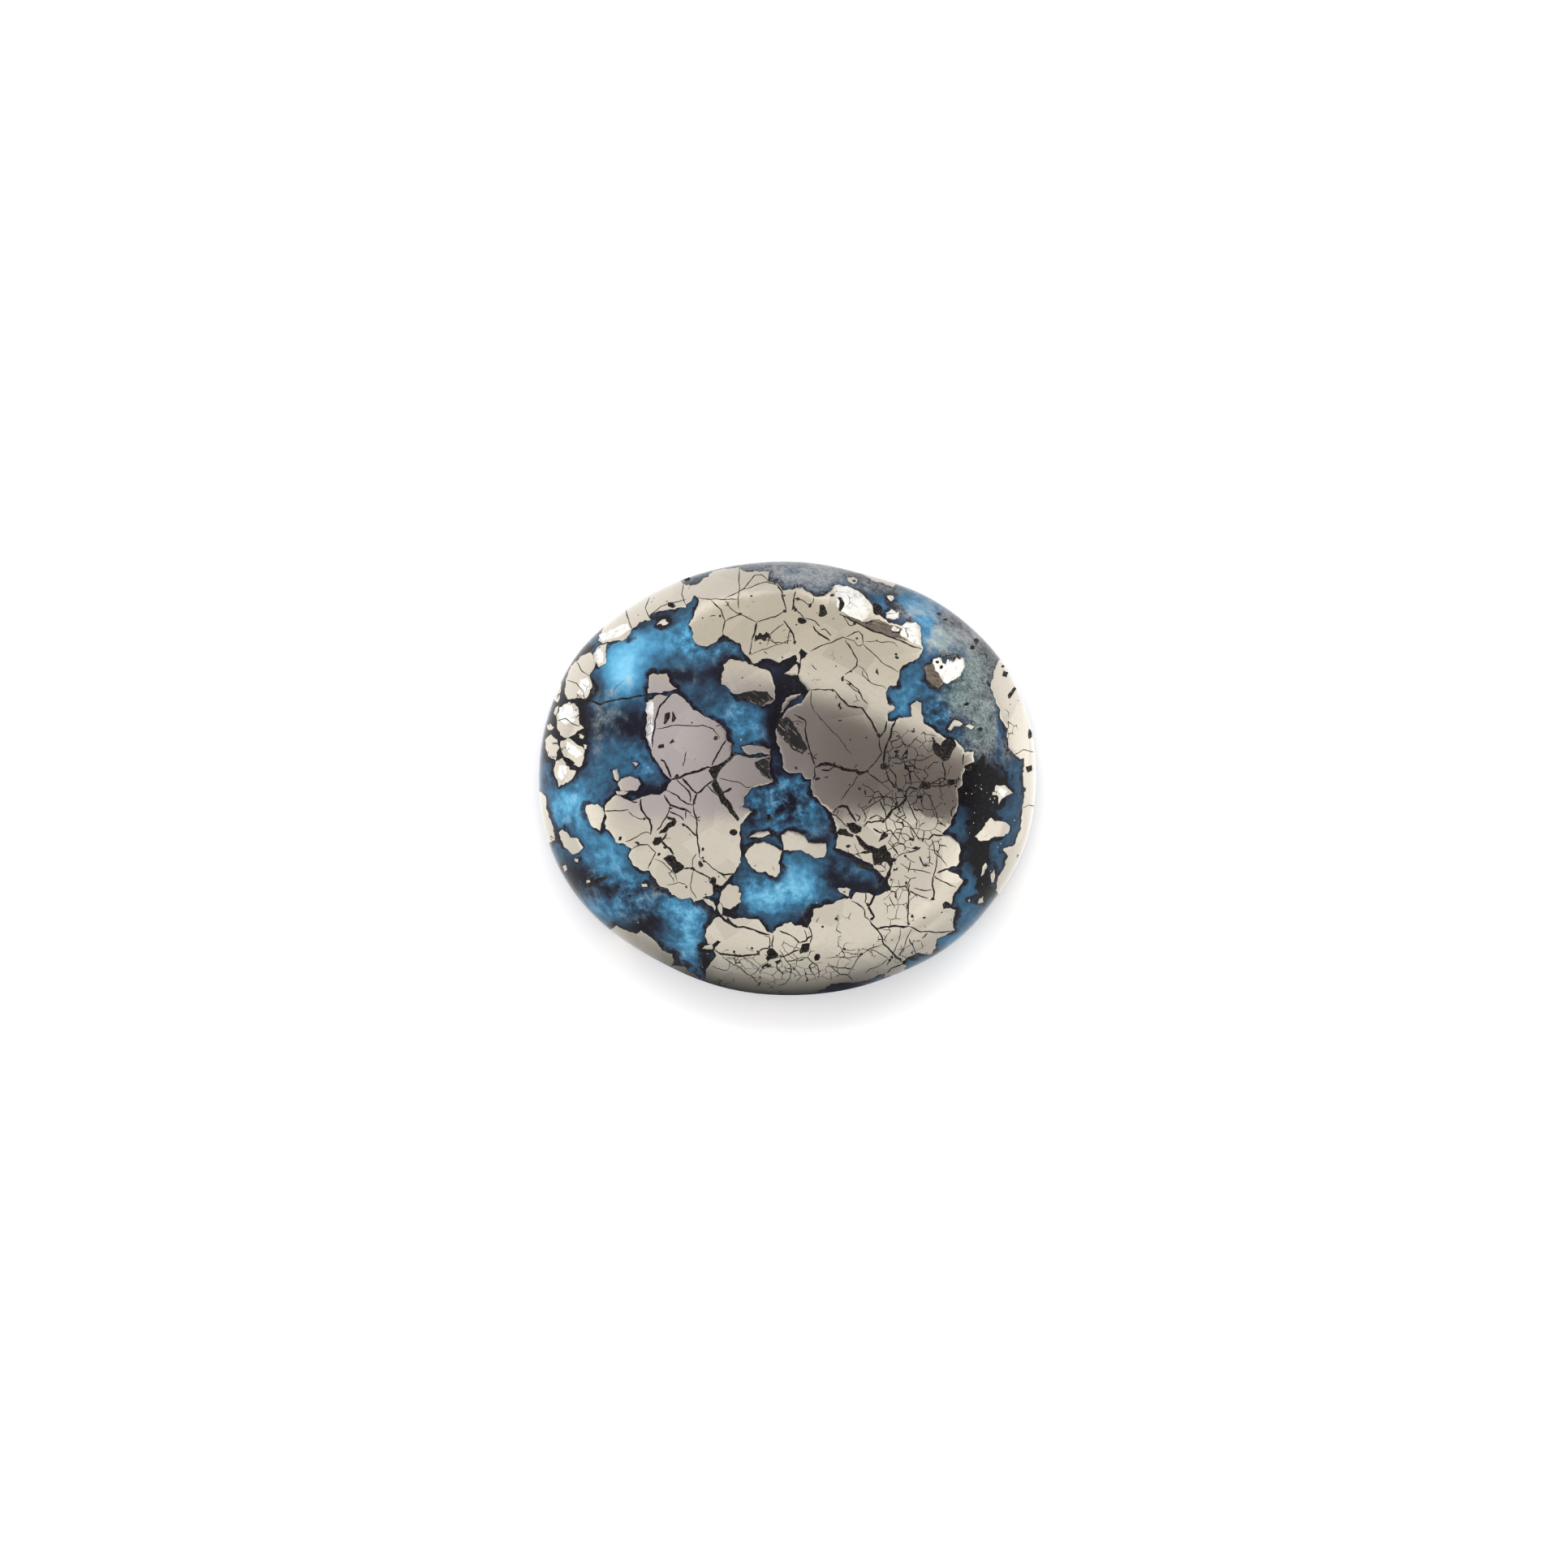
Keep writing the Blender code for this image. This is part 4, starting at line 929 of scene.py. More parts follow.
# Most rows are pale host rock; the narrow row at (737, 908) paints a pale streak of reflection down the left
# side.
HAZE_AND_SHEEN = (
    (1000, 710, 60, 22, 0.95), (1086, 720, 34, 12, 0.75), (1184, 772, 34, 22, 1.0), (1218, 800, 22, 30, 1.1),
    (1190, 822, 30, 20, 0.8), (1190, 860, 32, 28, 0.85), (1216, 886, 20, 38, 0.85), (1206, 914, 26, 22, 0.9),
    (1150, 792, 22, 16, 0.6), (1124, 756, 26, 16, 0.5), (1242, 925, 10, 20, 0.6), (1050, 1216, 50, 10, 0.15),
    (744, 884, 26, 14, 0.55), (737, 908, 6, 28, 0.6), (786, 1100, 40, 16, 0.35), (1196, 950, 26, 14, 0.45),
    (1186, 1164, 26, 12, 0.2), (864, 862, 18, 12, 0.15), (720, 1100, 24, 24, 0.2), (880, 697, 80, 10, 1.0),
    (694, 780, 30, 24, 0.6), (800, 710, 60, 20, 0.8), (1232, 905, 7, 34, -0.6), (1150, 880, 14, 14, -0.3),
    (960, 848, 20, 24, 0.25), (846, 832, 40, 8, 0.05),
)
GREENS = (
    (1192, 820, 20, 16, 0.6), (1184, 856, 26, 24, 0.75), (1156, 786, 18, 12, 0.4), (1164, 862, 12, 22, 0.4),
    (866, 862, 24, 16, 0.8), (744, 884, 26, 12, 0.5), (956, 948, 20, 9, 0.6), (850, 833, 40, 8, 0.6),
    (1210, 900, 22, 26, 0.55), (1185, 905, 14, 12, 0.5), (1142, 818, 10, 14, 0.4),
)
MARBLINGS = (
    (896, 798, 40, 18, 0.55), (850, 786, 30, 20, 0.6), (966, 990, 50, 44, 1.0), (950, 1100, 60, 26, 0.8),
    (850, 1140, 26, 40, 0.75), (782, 1104, 50, 30, 0.75), (800, 938, 30, 30, 0.5), (914, 890, 28, 26, 0.55),
    (704, 990, 34, 30, 0.5), (1150, 880, 24, 22, 0.8), (1200, 880, 40, 60, 0.45), (1124, 850, 24, 24, 0.25),
    (1170, 780, 40, 20, 0.3), (750, 1060, 30, 30, 0.35), (1040, 1070, 26, 20, 0.45),
)
UMBERS = (
    (990, 812, 10, 20, 1.0), (992, 850, 10, 10, 0.8), (1124, 1181, 12, 5, 0.8), (1210, 968, 32, 34, 1.0),
    (1204, 1046, 18, 42, 0.8), (1216, 1095, 14, 30, 0.6), (1190, 960, 10, 20, 0.6), (716, 890, 8, 34, 0.7),
    (694, 912, 20, 16, 0.6), (700, 930, 16, 20, 0.55), (718, 800, 20, 10, 0.85), (690, 826, 14, 28, 0.75),
    (965, 905, 18, 30, 0.85), (960, 855, 18, 26, 0.45), (984, 824, 14, 20, 0.55), (890, 1110, 8, 20, 0.6),
    (868, 1180, 10, 16, 0.5), (930, 930, 18, 10, 0.5), (1066, 1052, 16, 18, 0.4), (1064, 708, 20, 8, 0.4),
    (870, 712, 30, 8, 0.5), (706, 1080, 14, 18, 0.35), (700, 1110, 10, 20, 0.4), (838, 698, 30, 8, 0.5),
)
SPECKLES = (
    (1210, 975, 24, 34, 1.0), (1204, 1050, 18, 50, 0.55), (1228, 1015, 18, 24, 0.4), (700, 915, 20, 40, 0.4),
    (960, 890, 12, 34, 0.3), (1180, 905, 18, 14, 0.35), (1104, 745, 20, 14, 0.6), (1066, 1060, 22, 22, 0.4),
    (872, 1185, 14, 16, 0.3),
)
CRACKLE_ZONES = (
    (1120, 985, 76, 90, 0.9), (980, 1190, 110, 34, 0.8), (930, 745, 80, 34, 0.45), (840, 1040, 60, 60, 0.45),
    (1110, 1130, 60, 50, 0.5), (1060, 820, 60, 40, 0.25), (1245, 900, 30, 80, 0.4), (700, 890, 30, 70, 0.5),
)
EDGE_SHADE_REACH = 20.0  # pixels over which the way from a grain's edge is kept
CRACKLE_BASE = 0.15
SPECKLE_BASE = 0.015
CLUSTER_SIZE = 0.55  # millimetres
CLUSTER_EDGE = (0.05, 0.25)  # where in the noise a cluster begins, and over how much it fills up
BARE_EDGE = 2.0  # pixels along grains and hollows where no speck lies


def patches(rows):
    total = np.zeros(len(flat_points))
    for across, down, wide, high, strength in rows:
        x, y = in_millimetres([(across, down)])[0]
        dx = (flat_points[:, 0] - x) / (wide * PIXEL)
        dy = (flat_points[:, 1] - y) / (high * PIXEL)
        total += strength * np.exp(-(dx * dx + dy * dy))
    return total


def keep_attribute(name, values):
    layer = mesh.attributes.new(name, "FLOAT", "POINT")
    on_back = len(mesh.vertices) - len(used)
    layer.data.foreach_set("value", np.clip(values, 0.0, 1.0)[used].tolist() + [0.0] * on_back)
    print(name, "from", round(float(values.min()), 2), "to", round(float(values.max()), 2))


used = np.unique(triangles)
print("points used:", len(used), "of", len(flat_points), "mesh points:", len(mesh.vertices))
keep_attribute("glow", GLOW_BASE + patches(GLOWS))
keep_attribute("haze_and_sheen", patches(HAZE_AND_SHEEN))
keep_attribute("green", patches(GREENS))
keep_attribute("umber", patches(UMBERS))
keep_attribute("crackle", CRACKLE_BASE + patches(CRACKLE_ZONES))
keep_attribute("marbling", patches(MARBLINGS))
keep_attribute("from_grain", to_pyrite / EDGE_SHADE_REACH)
clusters = np.array([noise.noise(Vector((x, y, 5.0)) / CLUSTER_SIZE) for x, y in flat_points])
speckle_here = (SPECKLE_BASE + patches(SPECKLES)) * eased((clusters - CLUSTER_EDGE[0]) / CLUSTER_EDGE[1])
speckle_here = speckle_here * ~point_in_pyrite * (flat_share < 1.0)
keep_attribute("speckle", speckle_here * (to_pyrite > BARE_EDGE) * (to_hollow > BARE_EDGE))
keep_attribute("crumble", point_in_hollow * (to_hollow > 1.0) * 1.0)

# %% [markdown]
# Node trees are long when each node is written out, so small helpers add a node, join two sockets,
# feed a socket with a number or another socket, and do arithmetic. Every material and group below is
# built with them.

# %% Helpers for node trees


def add_node(tree, kind, **settings):
    node = tree.nodes.new(kind)
    for name, value in settings.items():
        setattr(node, name, value)
    return node


def join(first, second):
    """Links an output to an input, in whichever tree they stand."""
    second.id_data.links.new(first, second)


def feed(socket, value):
    if isinstance(value, bpy.types.NodeSocket):
        join(value, socket)
    else:
        socket.default_value = value


def sum_of(tree, operation, *values, clamp=False):
    node = add_node(tree, "ShaderNodeMath", operation=operation, use_clamp=clamp)
    for socket, value in zip(node.inputs, values):
        feed(socket, value)
    return node.outputs[0]


def times(tree, first, second, clamp=False):
    return sum_of(tree, "MULTIPLY", first, second, clamp=clamp)


def times_plus(tree, first, second, third, clamp=False):
    return sum_of(tree, "MULTIPLY_ADD", first, second, third, clamp=clamp)


def rest_of(tree, value, clamp=False):
    return sum_of(tree, "SUBTRACT", 1.0, value, clamp=clamp)


def blend_colour(tree, share, first, second, how="MIX"):
    node = add_node(tree, "ShaderNodeMix", data_type="RGBA", blend_type=how)
    for socket, value in zip((node.inputs[0], node.inputs[6], node.inputs[7]), (share, first, second)):
        feed(socket, value)
    return node.outputs[2]


def ramp(tree, value, stops):
    """A colour ramp from (place, colour) pairs."""
    node = add_node(tree, "ShaderNodeValToRGB")
    elements = node.color_ramp.elements
    while len(elements) < len(stops):
        elements.new(0.5)
    for element, (place, colour) in zip(elements, stops):
        element.position = place
        element.color = (*colour, 1.0)
    feed(node.inputs[0], value)
    return node.outputs[0]


def step_up(tree, value, low, high):
    node = add_node(tree, "ShaderNodeMapRange", interpolation_type="SMOOTHSTEP")
    for name, number in (("Value", value), ("From Min", low), ("From Max", high)):
        feed(node.inputs[name], number)
    return node.outputs[0]


def attribute(tree, name):
    return add_node(tree, "ShaderNodeAttribute", attribute_name=name).outputs["Fac"]


def noise_value(tree, place, scale, detail=3.0, roughness=0.55, distortion=0.0):
    node = add_node(tree, "ShaderNodeTexNoise")
    for name, value in (("Vector", place), ("Scale", scale), ("Detail", detail),
                        ("Roughness", roughness), ("Distortion", distortion)):
        feed(node.inputs[name], value)
    return node.outputs["Fac"]


def new_group(name, inputs, outputs):
    """A shader group with named number inputs, a place in millimetres, and named number outputs."""
    tree = bpy.data.node_groups.new(name, "ShaderNodeTree")
    tree.interface.new_socket("Place", in_out="INPUT", socket_type="NodeSocketVector")
    for label, value in inputs:
        socket = tree.interface.new_socket(label, in_out="INPUT", socket_type="NodeSocketFloat")
        socket.default_value = value
    for label in outputs:
        tree.interface.new_socket(label, in_out="OUTPUT", socket_type="NodeSocketFloat")
    return tree, add_node(tree, "NodeGroupInput"), add_node(tree, "NodeGroupOutput")


def use_group(tree, group, place, **values):
    node = add_node(tree, "ShaderNodeGroup", node_tree=group)
    feed(node.inputs["Place"], place)
    for name, value in values.items():
        feed(node.inputs[name.replace("_", " ")], value)
    return node


def new_material(name):
    material = bpy.data.materials.new(name)
    material.use_nodes = True
    tree = material.node_tree
    shader = tree.nodes["Principled BSDF"]
    where = add_node(tree, "ShaderNodeTexCoord").outputs["Object"]
    scale = add_node(tree, "ShaderNodeVectorMath", operation="SCALE")
    join(where, scale.inputs[0])
    scale.inputs["Scale"].default_value = 1.0 / MM
    return material, tree, shader, scale.outputs[0]


def bump(tree, shader, height, strength, distance):
    node = add_node(tree, "ShaderNodeBump")
    node.inputs["Strength"].default_value = strength
    node.inputs["Distance"].default_value = distance
    feed(node.inputs["Height"], height)
    join(node.outputs["Normal"], shader.inputs["Normal"])
    return node


print("helpers ready")

# %% [markdown]
# Three effects turn up in more than one material, so each is a shader group. Hairlines are the finest
# cracks: the borders between the cells of a Voronoi texture, bent by noise and broken up so that no
# cell is whole. Polish marks are noise drawn out into long streaks in two directions. Clouds are
# three sizes of noise, and a lace: thin pale veins that run where a noise passes its middle value.

# %% Shader groups
hairlines, ins, outs = new_group("hairlines", (("Scale", 1.2), ("Width", 0.014), ("Amount", 0.5)), ("Line",))
warp = add_node(hairlines, "ShaderNodeTexNoise")
warp.inputs["Scale"].default_value = 1.6
warp.inputs["Detail"].default_value = 4.0
join(ins.outputs["Place"], warp.inputs["Vector"])
bent = add_node(hairlines, "ShaderNodeVectorMath", operation="MULTIPLY_ADD")
join(warp.outputs["Color"], bent.inputs[0])
bent.inputs[1].default_value = (0.34, 0.34, 0.34)
join(ins.outputs["Place"], bent.inputs[2])
cells = add_node(hairlines, "ShaderNodeTexVoronoi", feature="DISTANCE_TO_EDGE")
join(bent.outputs[0], cells.inputs["Vector"])
join(ins.outputs["Scale"], cells.inputs["Scale"])
border_distance = sum_of(hairlines, "DIVIDE", cells.outputs["Distance"], ins.outputs["Scale"])
narrow = sum_of(hairlines, "DIVIDE", border_distance, ins.outputs["Width"])
line = times(hairlines, rest_of(hairlines, narrow), 2.5, clamp=True)
patchy = noise_value(hairlines, ins.outputs["Place"], 0.8, 2.0)
wanted = sum_of(hairlines, "ADD", patchy, sum_of(hairlines, "SUBTRACT", ins.outputs["Amount"], 1.0))
present = step_up(hairlines, wanted, -0.03, 0.05)
join(times(hairlines, line, present), outs.inputs["Line"])

polish_marks, ins, outs = new_group("polish_marks", (("Fineness", 14.0),), ("Marks",))
streaks = []
for turn, stretch in ((0.9, 20.0), (-0.5, 12.0)):
    lay = add_node(polish_marks, "ShaderNodeMapping", vector_type="TEXTURE")
    lay.inputs["Rotation"].default_value = (0.0, 0.0, turn)
    lay.inputs["Scale"].default_value = (stretch, 1.0, 1.0)
    join(ins.outputs["Place"], lay.inputs["Vector"])
    streaks.append(noise_value(polish_marks, lay.outputs[0], ins.outputs["Fineness"], 3.0, 0.6))
both = sum_of(polish_marks, "ADD", streaks[0], streaks[1])
join(times(polish_marks, both, 0.5), outs.inputs["Marks"])

CLOUD_LAYERS = (("Broad", 0.8, 2.0, 0.5), ("Middle", 2.6, 3.0, 0.55), ("Fine", 9.5, 4.0, 0.7))
LACE_FINENESS = 16.0
clouds, ins, outs = new_group("clouds", (("Size", 1.0),), ("Broad", "Middle", "Fine", "Lace"))
for label, scale, detail, rough in CLOUD_LAYERS:
    finer = sum_of(clouds, "DIVIDE", scale, ins.outputs["Size"])
    join(noise_value(clouds, ins.outputs["Place"], finer, detail, rough), outs.inputs[label])
finer = sum_of(clouds, "DIVIDE", 3.2, ins.outputs["Size"])
swirl = noise_value(clouds, ins.outputs["Place"], finer, 5.0, 0.62, 1.2)
off_middle = sum_of(clouds, "ABSOLUTE", sum_of(clouds, "SUBTRACT", swirl, 0.5))
lace = rest_of(clouds, times(clouds, off_middle, LACE_FINENESS), clamp=True)
join(lace, outs.inputs["Lace"])
print("shader groups:", [group.name for group in bpy.data.node_groups])

# %% [markdown]
# Turquoise polishes like porcelain, and light goes a little way in before it comes back. The glow
# attribute sets how much comes back. Clouds move it gently up and down, fine pale veins marble it, and
# a thin painted shade follows every pyrite grain, darkening the turquoise at its edge. One ramp turns the
# result into blue, and two more into grey and greenish host rock.

# %% Turquoise
turquoise, tree, shader, place = new_material("turquoise")
mist = use_group(tree, clouds, place, Size=1.0)
centred = {}
for name in ("Broad", "Middle", "Fine"):
    centred[name] = sum_of(tree, "SUBTRACT", mist.outputs[name], 0.5)
marbling = attribute(tree, "marbling")
level = times_plus(tree, centred["Broad"], 0.30, attribute(tree, "glow"))
level = times_plus(tree, centred["Middle"], 0.42, level)
grainy = times_plus(tree, marbling, 0.30, 0.10)
level = sum_of(tree, "ADD", times(tree, centred["Fine"], grainy), level)
veins = times(tree, mist.outputs["Lace"], step_up(tree, mist.outputs["Middle"], 0.38, 0.62))
veins = times(tree, veins, marbling)
level = times_plus(tree, veins, 0.26, level)
coarse_mottle = times(tree, centred["Middle"], marbling)
level = times_plus(tree, coarse_mottle, 0.70, level)
# Painted shade: the turquoise is darkened in a thin, wandering band along every pyrite grain.
wandering = times_plus(tree, centred["Middle"], -0.9, attribute(tree, "from_grain"))
wandering = times_plus(tree, centred["Broad"], -1.3, wandering)
edge_shade = rest_of(tree, step_up(tree, wandering, -0.02, 0.34))
edge_shade_strength = step_up(tree, mist.outputs["Middle"], 0.30, 0.66)
edge_shade_strength = times_plus(tree, edge_shade_strength, 0.42, 0.16)
level = sum_of(tree, "SUBTRACT", level, times(tree, edge_shade, edge_shade_strength), clamp=True)
blue = ramp(tree, level, (
    (0.00, (0.006, 0.005, 0.009)), (0.18, (0.010, 0.011, 0.021)), (0.34, (0.019, 0.041, 0.072)),
    (0.50, (0.028, 0.098, 0.173)), (0.66, (0.050, 0.190, 0.322)), (0.82, (0.088, 0.300, 0.470)),
    (1.00, (0.160, 0.425, 0.600)),
))
grey = ramp(tree, level, (
    (0.00, (0.008, 0.008, 0.010)), (0.25, (0.036, 0.034, 0.040)), (0.50, (0.122, 0.122, 0.132)),
    (0.75, (0.220, 0.252, 0.268)), (1.00, (0.420, 0.470, 0.470)),
))
green = ramp(tree, level, (
    (0.00, (0.008, 0.012, 0.016)), (0.25, (0.025, 0.066, 0.074)), (0.50, (0.110, 0.164, 0.152)),
    (0.75, (0.169, 0.260, 0.243)), (1.00, (0.440, 0.480, 0.460)),
))
rock = blend_colour(tree, attribute(tree, "green"), grey, green)
# The haze mask greys the blue for pale host rock, and along one narrow streak on the left for a painted
# reflection.
haze_and_sheen_edge = times_plus(tree, centred["Broad"], 1.2, attribute(tree, "haze_and_sheen"))
haze_and_sheen_edge = times_plus(tree, centred["Middle"], 1.4, haze_and_sheen_edge, clamp=True)
haze_and_sheen_share = step_up(tree, haze_and_sheen_edge, 0.10, 0.90)
colour = blend_colour(tree, haze_and_sheen_share, blue, rock)
flecks = times(tree, step_up(tree, mist.outputs["Fine"], 0.58, 0.74), haze_and_sheen_share)
pale_lace = times(tree, mist.outputs["Lace"], times(tree, haze_and_sheen_share, 0.35))
flecks = sum_of(tree, "MAXIMUM", times(tree, flecks, 0.45), pale_lace)
colour = blend_colour(tree, flecks, colour, (0.36, 0.43, 0.44, 1.0))
umber_edge = times_plus(tree, centred["Middle"], 1.6, attribute(tree, "umber"), clamp=True)
umber_colour = ramp(tree, mist.outputs["Fine"], (
    (0.35, (0.003, 0.003, 0.004)), (0.62, (0.009, 0.008, 0.009)), (0.80, (0.070, 0.062, 0.060)),
))
colour = blend_colour(tree, step_up(tree, umber_edge, 0.25, 0.60), colour, umber_colour)
flaws = use_group(tree, hairlines, place, Scale=0.9, Width=0.016, Amount=0.30).outputs["Line"]
colour = blend_colour(tree, times(tree, flaws, 0.5), colour, (0.010, 0.009, 0.012, 1.0))
join(colour, shader.inputs["Base Color"])
join(times_plus(tree, mist.outputs["Fine"], 0.20, 0.08), shader.inputs["Roughness"])
shader.inputs["Specular IOR Level"].default_value = 0.12
grain = times_plus(tree, flaws, -0.5, mist.outputs["Fine"])
bump(tree, shader, grain, 0.15, 0.006 * MM)
print("turquoise nodes:", len(tree.nodes))

# %% [markdown]
# Pyrite is a pale brassy metal. Polishing leaves fine streaks in it, each grain takes the polish a
# little differently, and it is full of hairline cracks and pinholes that hold black dirt. Where dirt
# lies, the surface isn't metal. So one mask first darkens the colour and then lowers the metallic
# value, in that order, or the edges of the cracks would shine. Each grain's normals lean a little way
# of their own, so that neighbours mirror slightly different parts of the surroundings.

# %% Pyrite
DIRT = (0.014, 0.012, 0.012, 1.0)
pyrite, tree, shader, place = new_material("pyrite")
mist = use_group(tree, clouds, place, Size=1.6)
marks = use_group(tree, polish_marks, place, Fineness=13.0).outputs["Marks"]
crackle = attribute(tree, "crackle")
coarse = use_group(tree, hairlines, place, Scale=0.75, Width=0.020, Amount=0.37).outputs["Line"]
amount = times_plus(tree, crackle, 0.44, 0.20)
fine = use_group(tree, hairlines, place, Scale=2.1, Width=0.014, Amount=amount).outputs["Line"]
cracks = sum_of(tree, "MAXIMUM", times(tree, coarse, 0.9), times(tree, fine, 0.75))
dots = add_node(tree, "ShaderNodeTexVoronoi")
dots.inputs["Scale"].default_value = 1.9
join(place, dots.inputs["Vector"])
lot = add_node(tree, "ShaderNodeSeparateColor")
join(dots.outputs["Color"], lot.inputs[0])
rare = sum_of(tree, "GREATER_THAN", lot.outputs[0], 0.5)
hole = rest_of(tree, step_up(tree, dots.outputs["Distance"], 0.045, 0.085))
hole = times(tree, hole, rare)
dirt = sum_of(tree, "MAXIMUM", cracks, hole)
grain_tone = add_node(tree, "ShaderNodeTexVoronoi")
grain_tone.inputs["Scale"].default_value = 0.42
join(place, grain_tone.inputs["Vector"])
tone = add_node(tree, "ShaderNodeSeparateColor")
join(grain_tone.outputs["Color"], tone.inputs[0])
brass = ramp(tree, tone.outputs[0], (
    (0.0, (0.545, 0.500, 0.430)), (0.5, (0.600, 0.553, 0.475)), (1.0, (0.655, 0.608, 0.520)),
))
streaky = times(tree, step_up(tree, marks, 0.50, 0.62), 0.30)
brass = blend_colour(tree, streaky, brass, (0.47, 0.43, 0.37, 1.0))
warm = times(tree, mist.outputs["Middle"], 0.22)
brass = blend_colour(tree, warm, brass, (0.60, 0.535, 0.42, 1.0))
colour = blend_colour(tree, step_up(tree, dirt, 0.0, 0.45), brass, DIRT)
join(colour, shader.inputs["Base Color"])
filled = step_up(tree, dirt, 0.5, 1.0)
join(rest_of(tree, filled), shader.inputs["Metallic"])
rough = times_plus(tree, marks, 0.16, 0.06)
rough = times_plus(tree, hole, 0.4, rough)
join(rough, shader.inputs["Roughness"])
shader.inputs["Specular IOR Level"].default_value = 0.2
GRAIN_LEAN = 0.05  # how far each grain's normals lean its own way
lean = add_node(tree, "ShaderNodeVectorMath", operation="SUBTRACT")
join(grain_tone.outputs["Color"], lean.inputs[0])
lean.inputs[1].default_value = (0.5, 0.5, 0.5)
leaning = add_node(tree, "ShaderNodeVectorMath", operation="MULTIPLY_ADD")
join(lean.outputs[0], leaning.inputs[0])
leaning.inputs[1].default_value = (GRAIN_LEAN, GRAIN_LEAN, 0.0)
join(add_node(tree, "ShaderNodeNewGeometry").outputs["Normal"], leaning.inputs[2])
upright = add_node(tree, "ShaderNodeVectorMath", operation="NORMALIZE")
join(leaning.outputs[0], upright.inputs[0])
polish = bump(tree, shader, marks, 0.15, 0.006 * MM)
join(upright.outputs[0], polish.inputs["Normal"])
print("pyrite nodes:", len(tree.nodes))

# %% [markdown]
# These facets carry painted light. A bright facet gets a near-white colour, a painted highlight that
# makes it brighter than the polish. The scored places are the opposite: torn and near black, a painted
# shade, in scratches which all run one way. The brown facets are the same scratched metal, painted brown
# as a dark reflection.

# %% Painted highlights, painted shade and painted dark reflections on broken facets
painted_glint, tree, shader, place = new_material("pyrite_painted_glint")
marks = use_group(tree, polish_marks, place, Fineness=9.0).outputs["Marks"]
mist = use_group(tree, clouds, place, Size=0.8)
flakes = use_group(tree, hairlines, place, Scale=1.6, Width=0.016, Amount=0.50).outputs["Line"]
# The near-white colour is a painted highlight, brighter than the polished pyrite.
colour = ramp(tree, mist.outputs["Middle"], (
    (0.30, (0.620, 0.600, 0.550)), (0.46, (0.880, 0.870, 0.830)), (0.70, (0.970, 0.960, 0.920)),
))
colour = blend_colour(tree, times(tree, flakes, 0.8), colour, DIRT)
join(colour, shader.inputs["Base Color"])
shader.inputs["Metallic"].default_value = 1.0
join(times_plus(tree, marks, 0.25, 0.18), shader.inputs["Roughness"])
height = sum_of(tree, "ADD", marks, times(tree, mist.outputs["Middle"], 2.0))
bump(tree, shader, height, 0.5, 0.03 * MM)


def scratched_metal(name, turn, stops):
    """Pyrite with furrows that run one way; the stops colour it from the furrows up to the ridges, darkened
    as painted shade.
    """
    material, tree, shader, place = new_material(name)
    lay = add_node(tree, "ShaderNodeMapping", vector_type="TEXTURE")
    lay.inputs["Rotation"].default_value = (0.0, 0.0, math.radians(turn))
    lay.inputs["Scale"].default_value = (22.0, 1.0, 1.0)
    join(place, lay.inputs["Vector"])
    furrows = noise_value(tree, lay.outputs[0], 16.0, 3.0, 0.65)
    mist = use_group(tree, clouds, place, Size=0.9)
    uneven = sum_of(tree, "SUBTRACT", mist.outputs["Middle"], 0.5)
    shine = times_plus(tree, uneven, 0.5, furrows)
    join(ramp(tree, shine, stops), shader.inputs["Base Color"])
    join(step_up(tree, shine, 0.40, 0.60), shader.inputs["Metallic"])
    join(times_plus(tree, furrows, -0.3, 0.55), shader.inputs["Roughness"])
    shader.inputs["Specular IOR Level"].default_value = 0.3
    bump(tree, shader, furrows, 0.6, 0.02 * MM)
    return material


# Near-black stops: painted shade in scoops where the pyrite curves down.
scored_painted_shade = scratched_metal("scored_pyrite_painted_shade", -43.0, (
    (0.42, (0.006, 0.006, 0.006)), (0.54, (0.022, 0.020, 0.019)), (0.60, (0.110, 0.098, 0.086)),
    (0.68, (0.500, 0.470, 0.420)),
))
# Brown stops: a painted dark reflection on the ledge facets.
painted_dark_reflection = scratched_metal("pyrite_painted_dark_reflection", -18.0, (
    (0.34, (0.020, 0.016, 0.014)), (0.46, (0.110, 0.088, 0.068)), (0.58, (0.190, 0.158, 0.125)),
    (0.74, (0.380, 0.340, 0.280)),
))
print("broken and scored pyrite ready")

# %% [markdown]
# The floor of the pits and cracks is matrix that the polish never reached: crumbly, brown-black, with
# paler grit in it.

# %% Dark matrix
matrix, tree, shader, place = new_material("dark_matrix")
mist = use_group(tree, clouds, place, Size=0.7)
grit = ramp(tree, mist.outputs["Fine"], (
    (0.30, (0.004, 0.004, 0.005)), (0.52, (0.012, 0.010, 0.010)), (0.64, (0.070, 0.060, 0.050)),
    (0.76, (0.300, 0.270, 0.220)),
))
join(grit, shader.inputs["Base Color"])
join(times_plus(tree, mist.outputs["Middle"], 0.4, 0.35), shader.inputs["Roughness"])
shader.inputs["Specular IOR Level"].default_value = 0.12
bump(tree, shader, mist.outputs["Fine"], 0.6, 0.03 * MM)
print("matrix nodes:", len(tree.nodes))

# %% [markdown]
# The back is ground flat and not polished. It cuts through the same stone, so it shows turquoise,
# matrix and pyrite too, but dull and covered with straight grinding scratches.

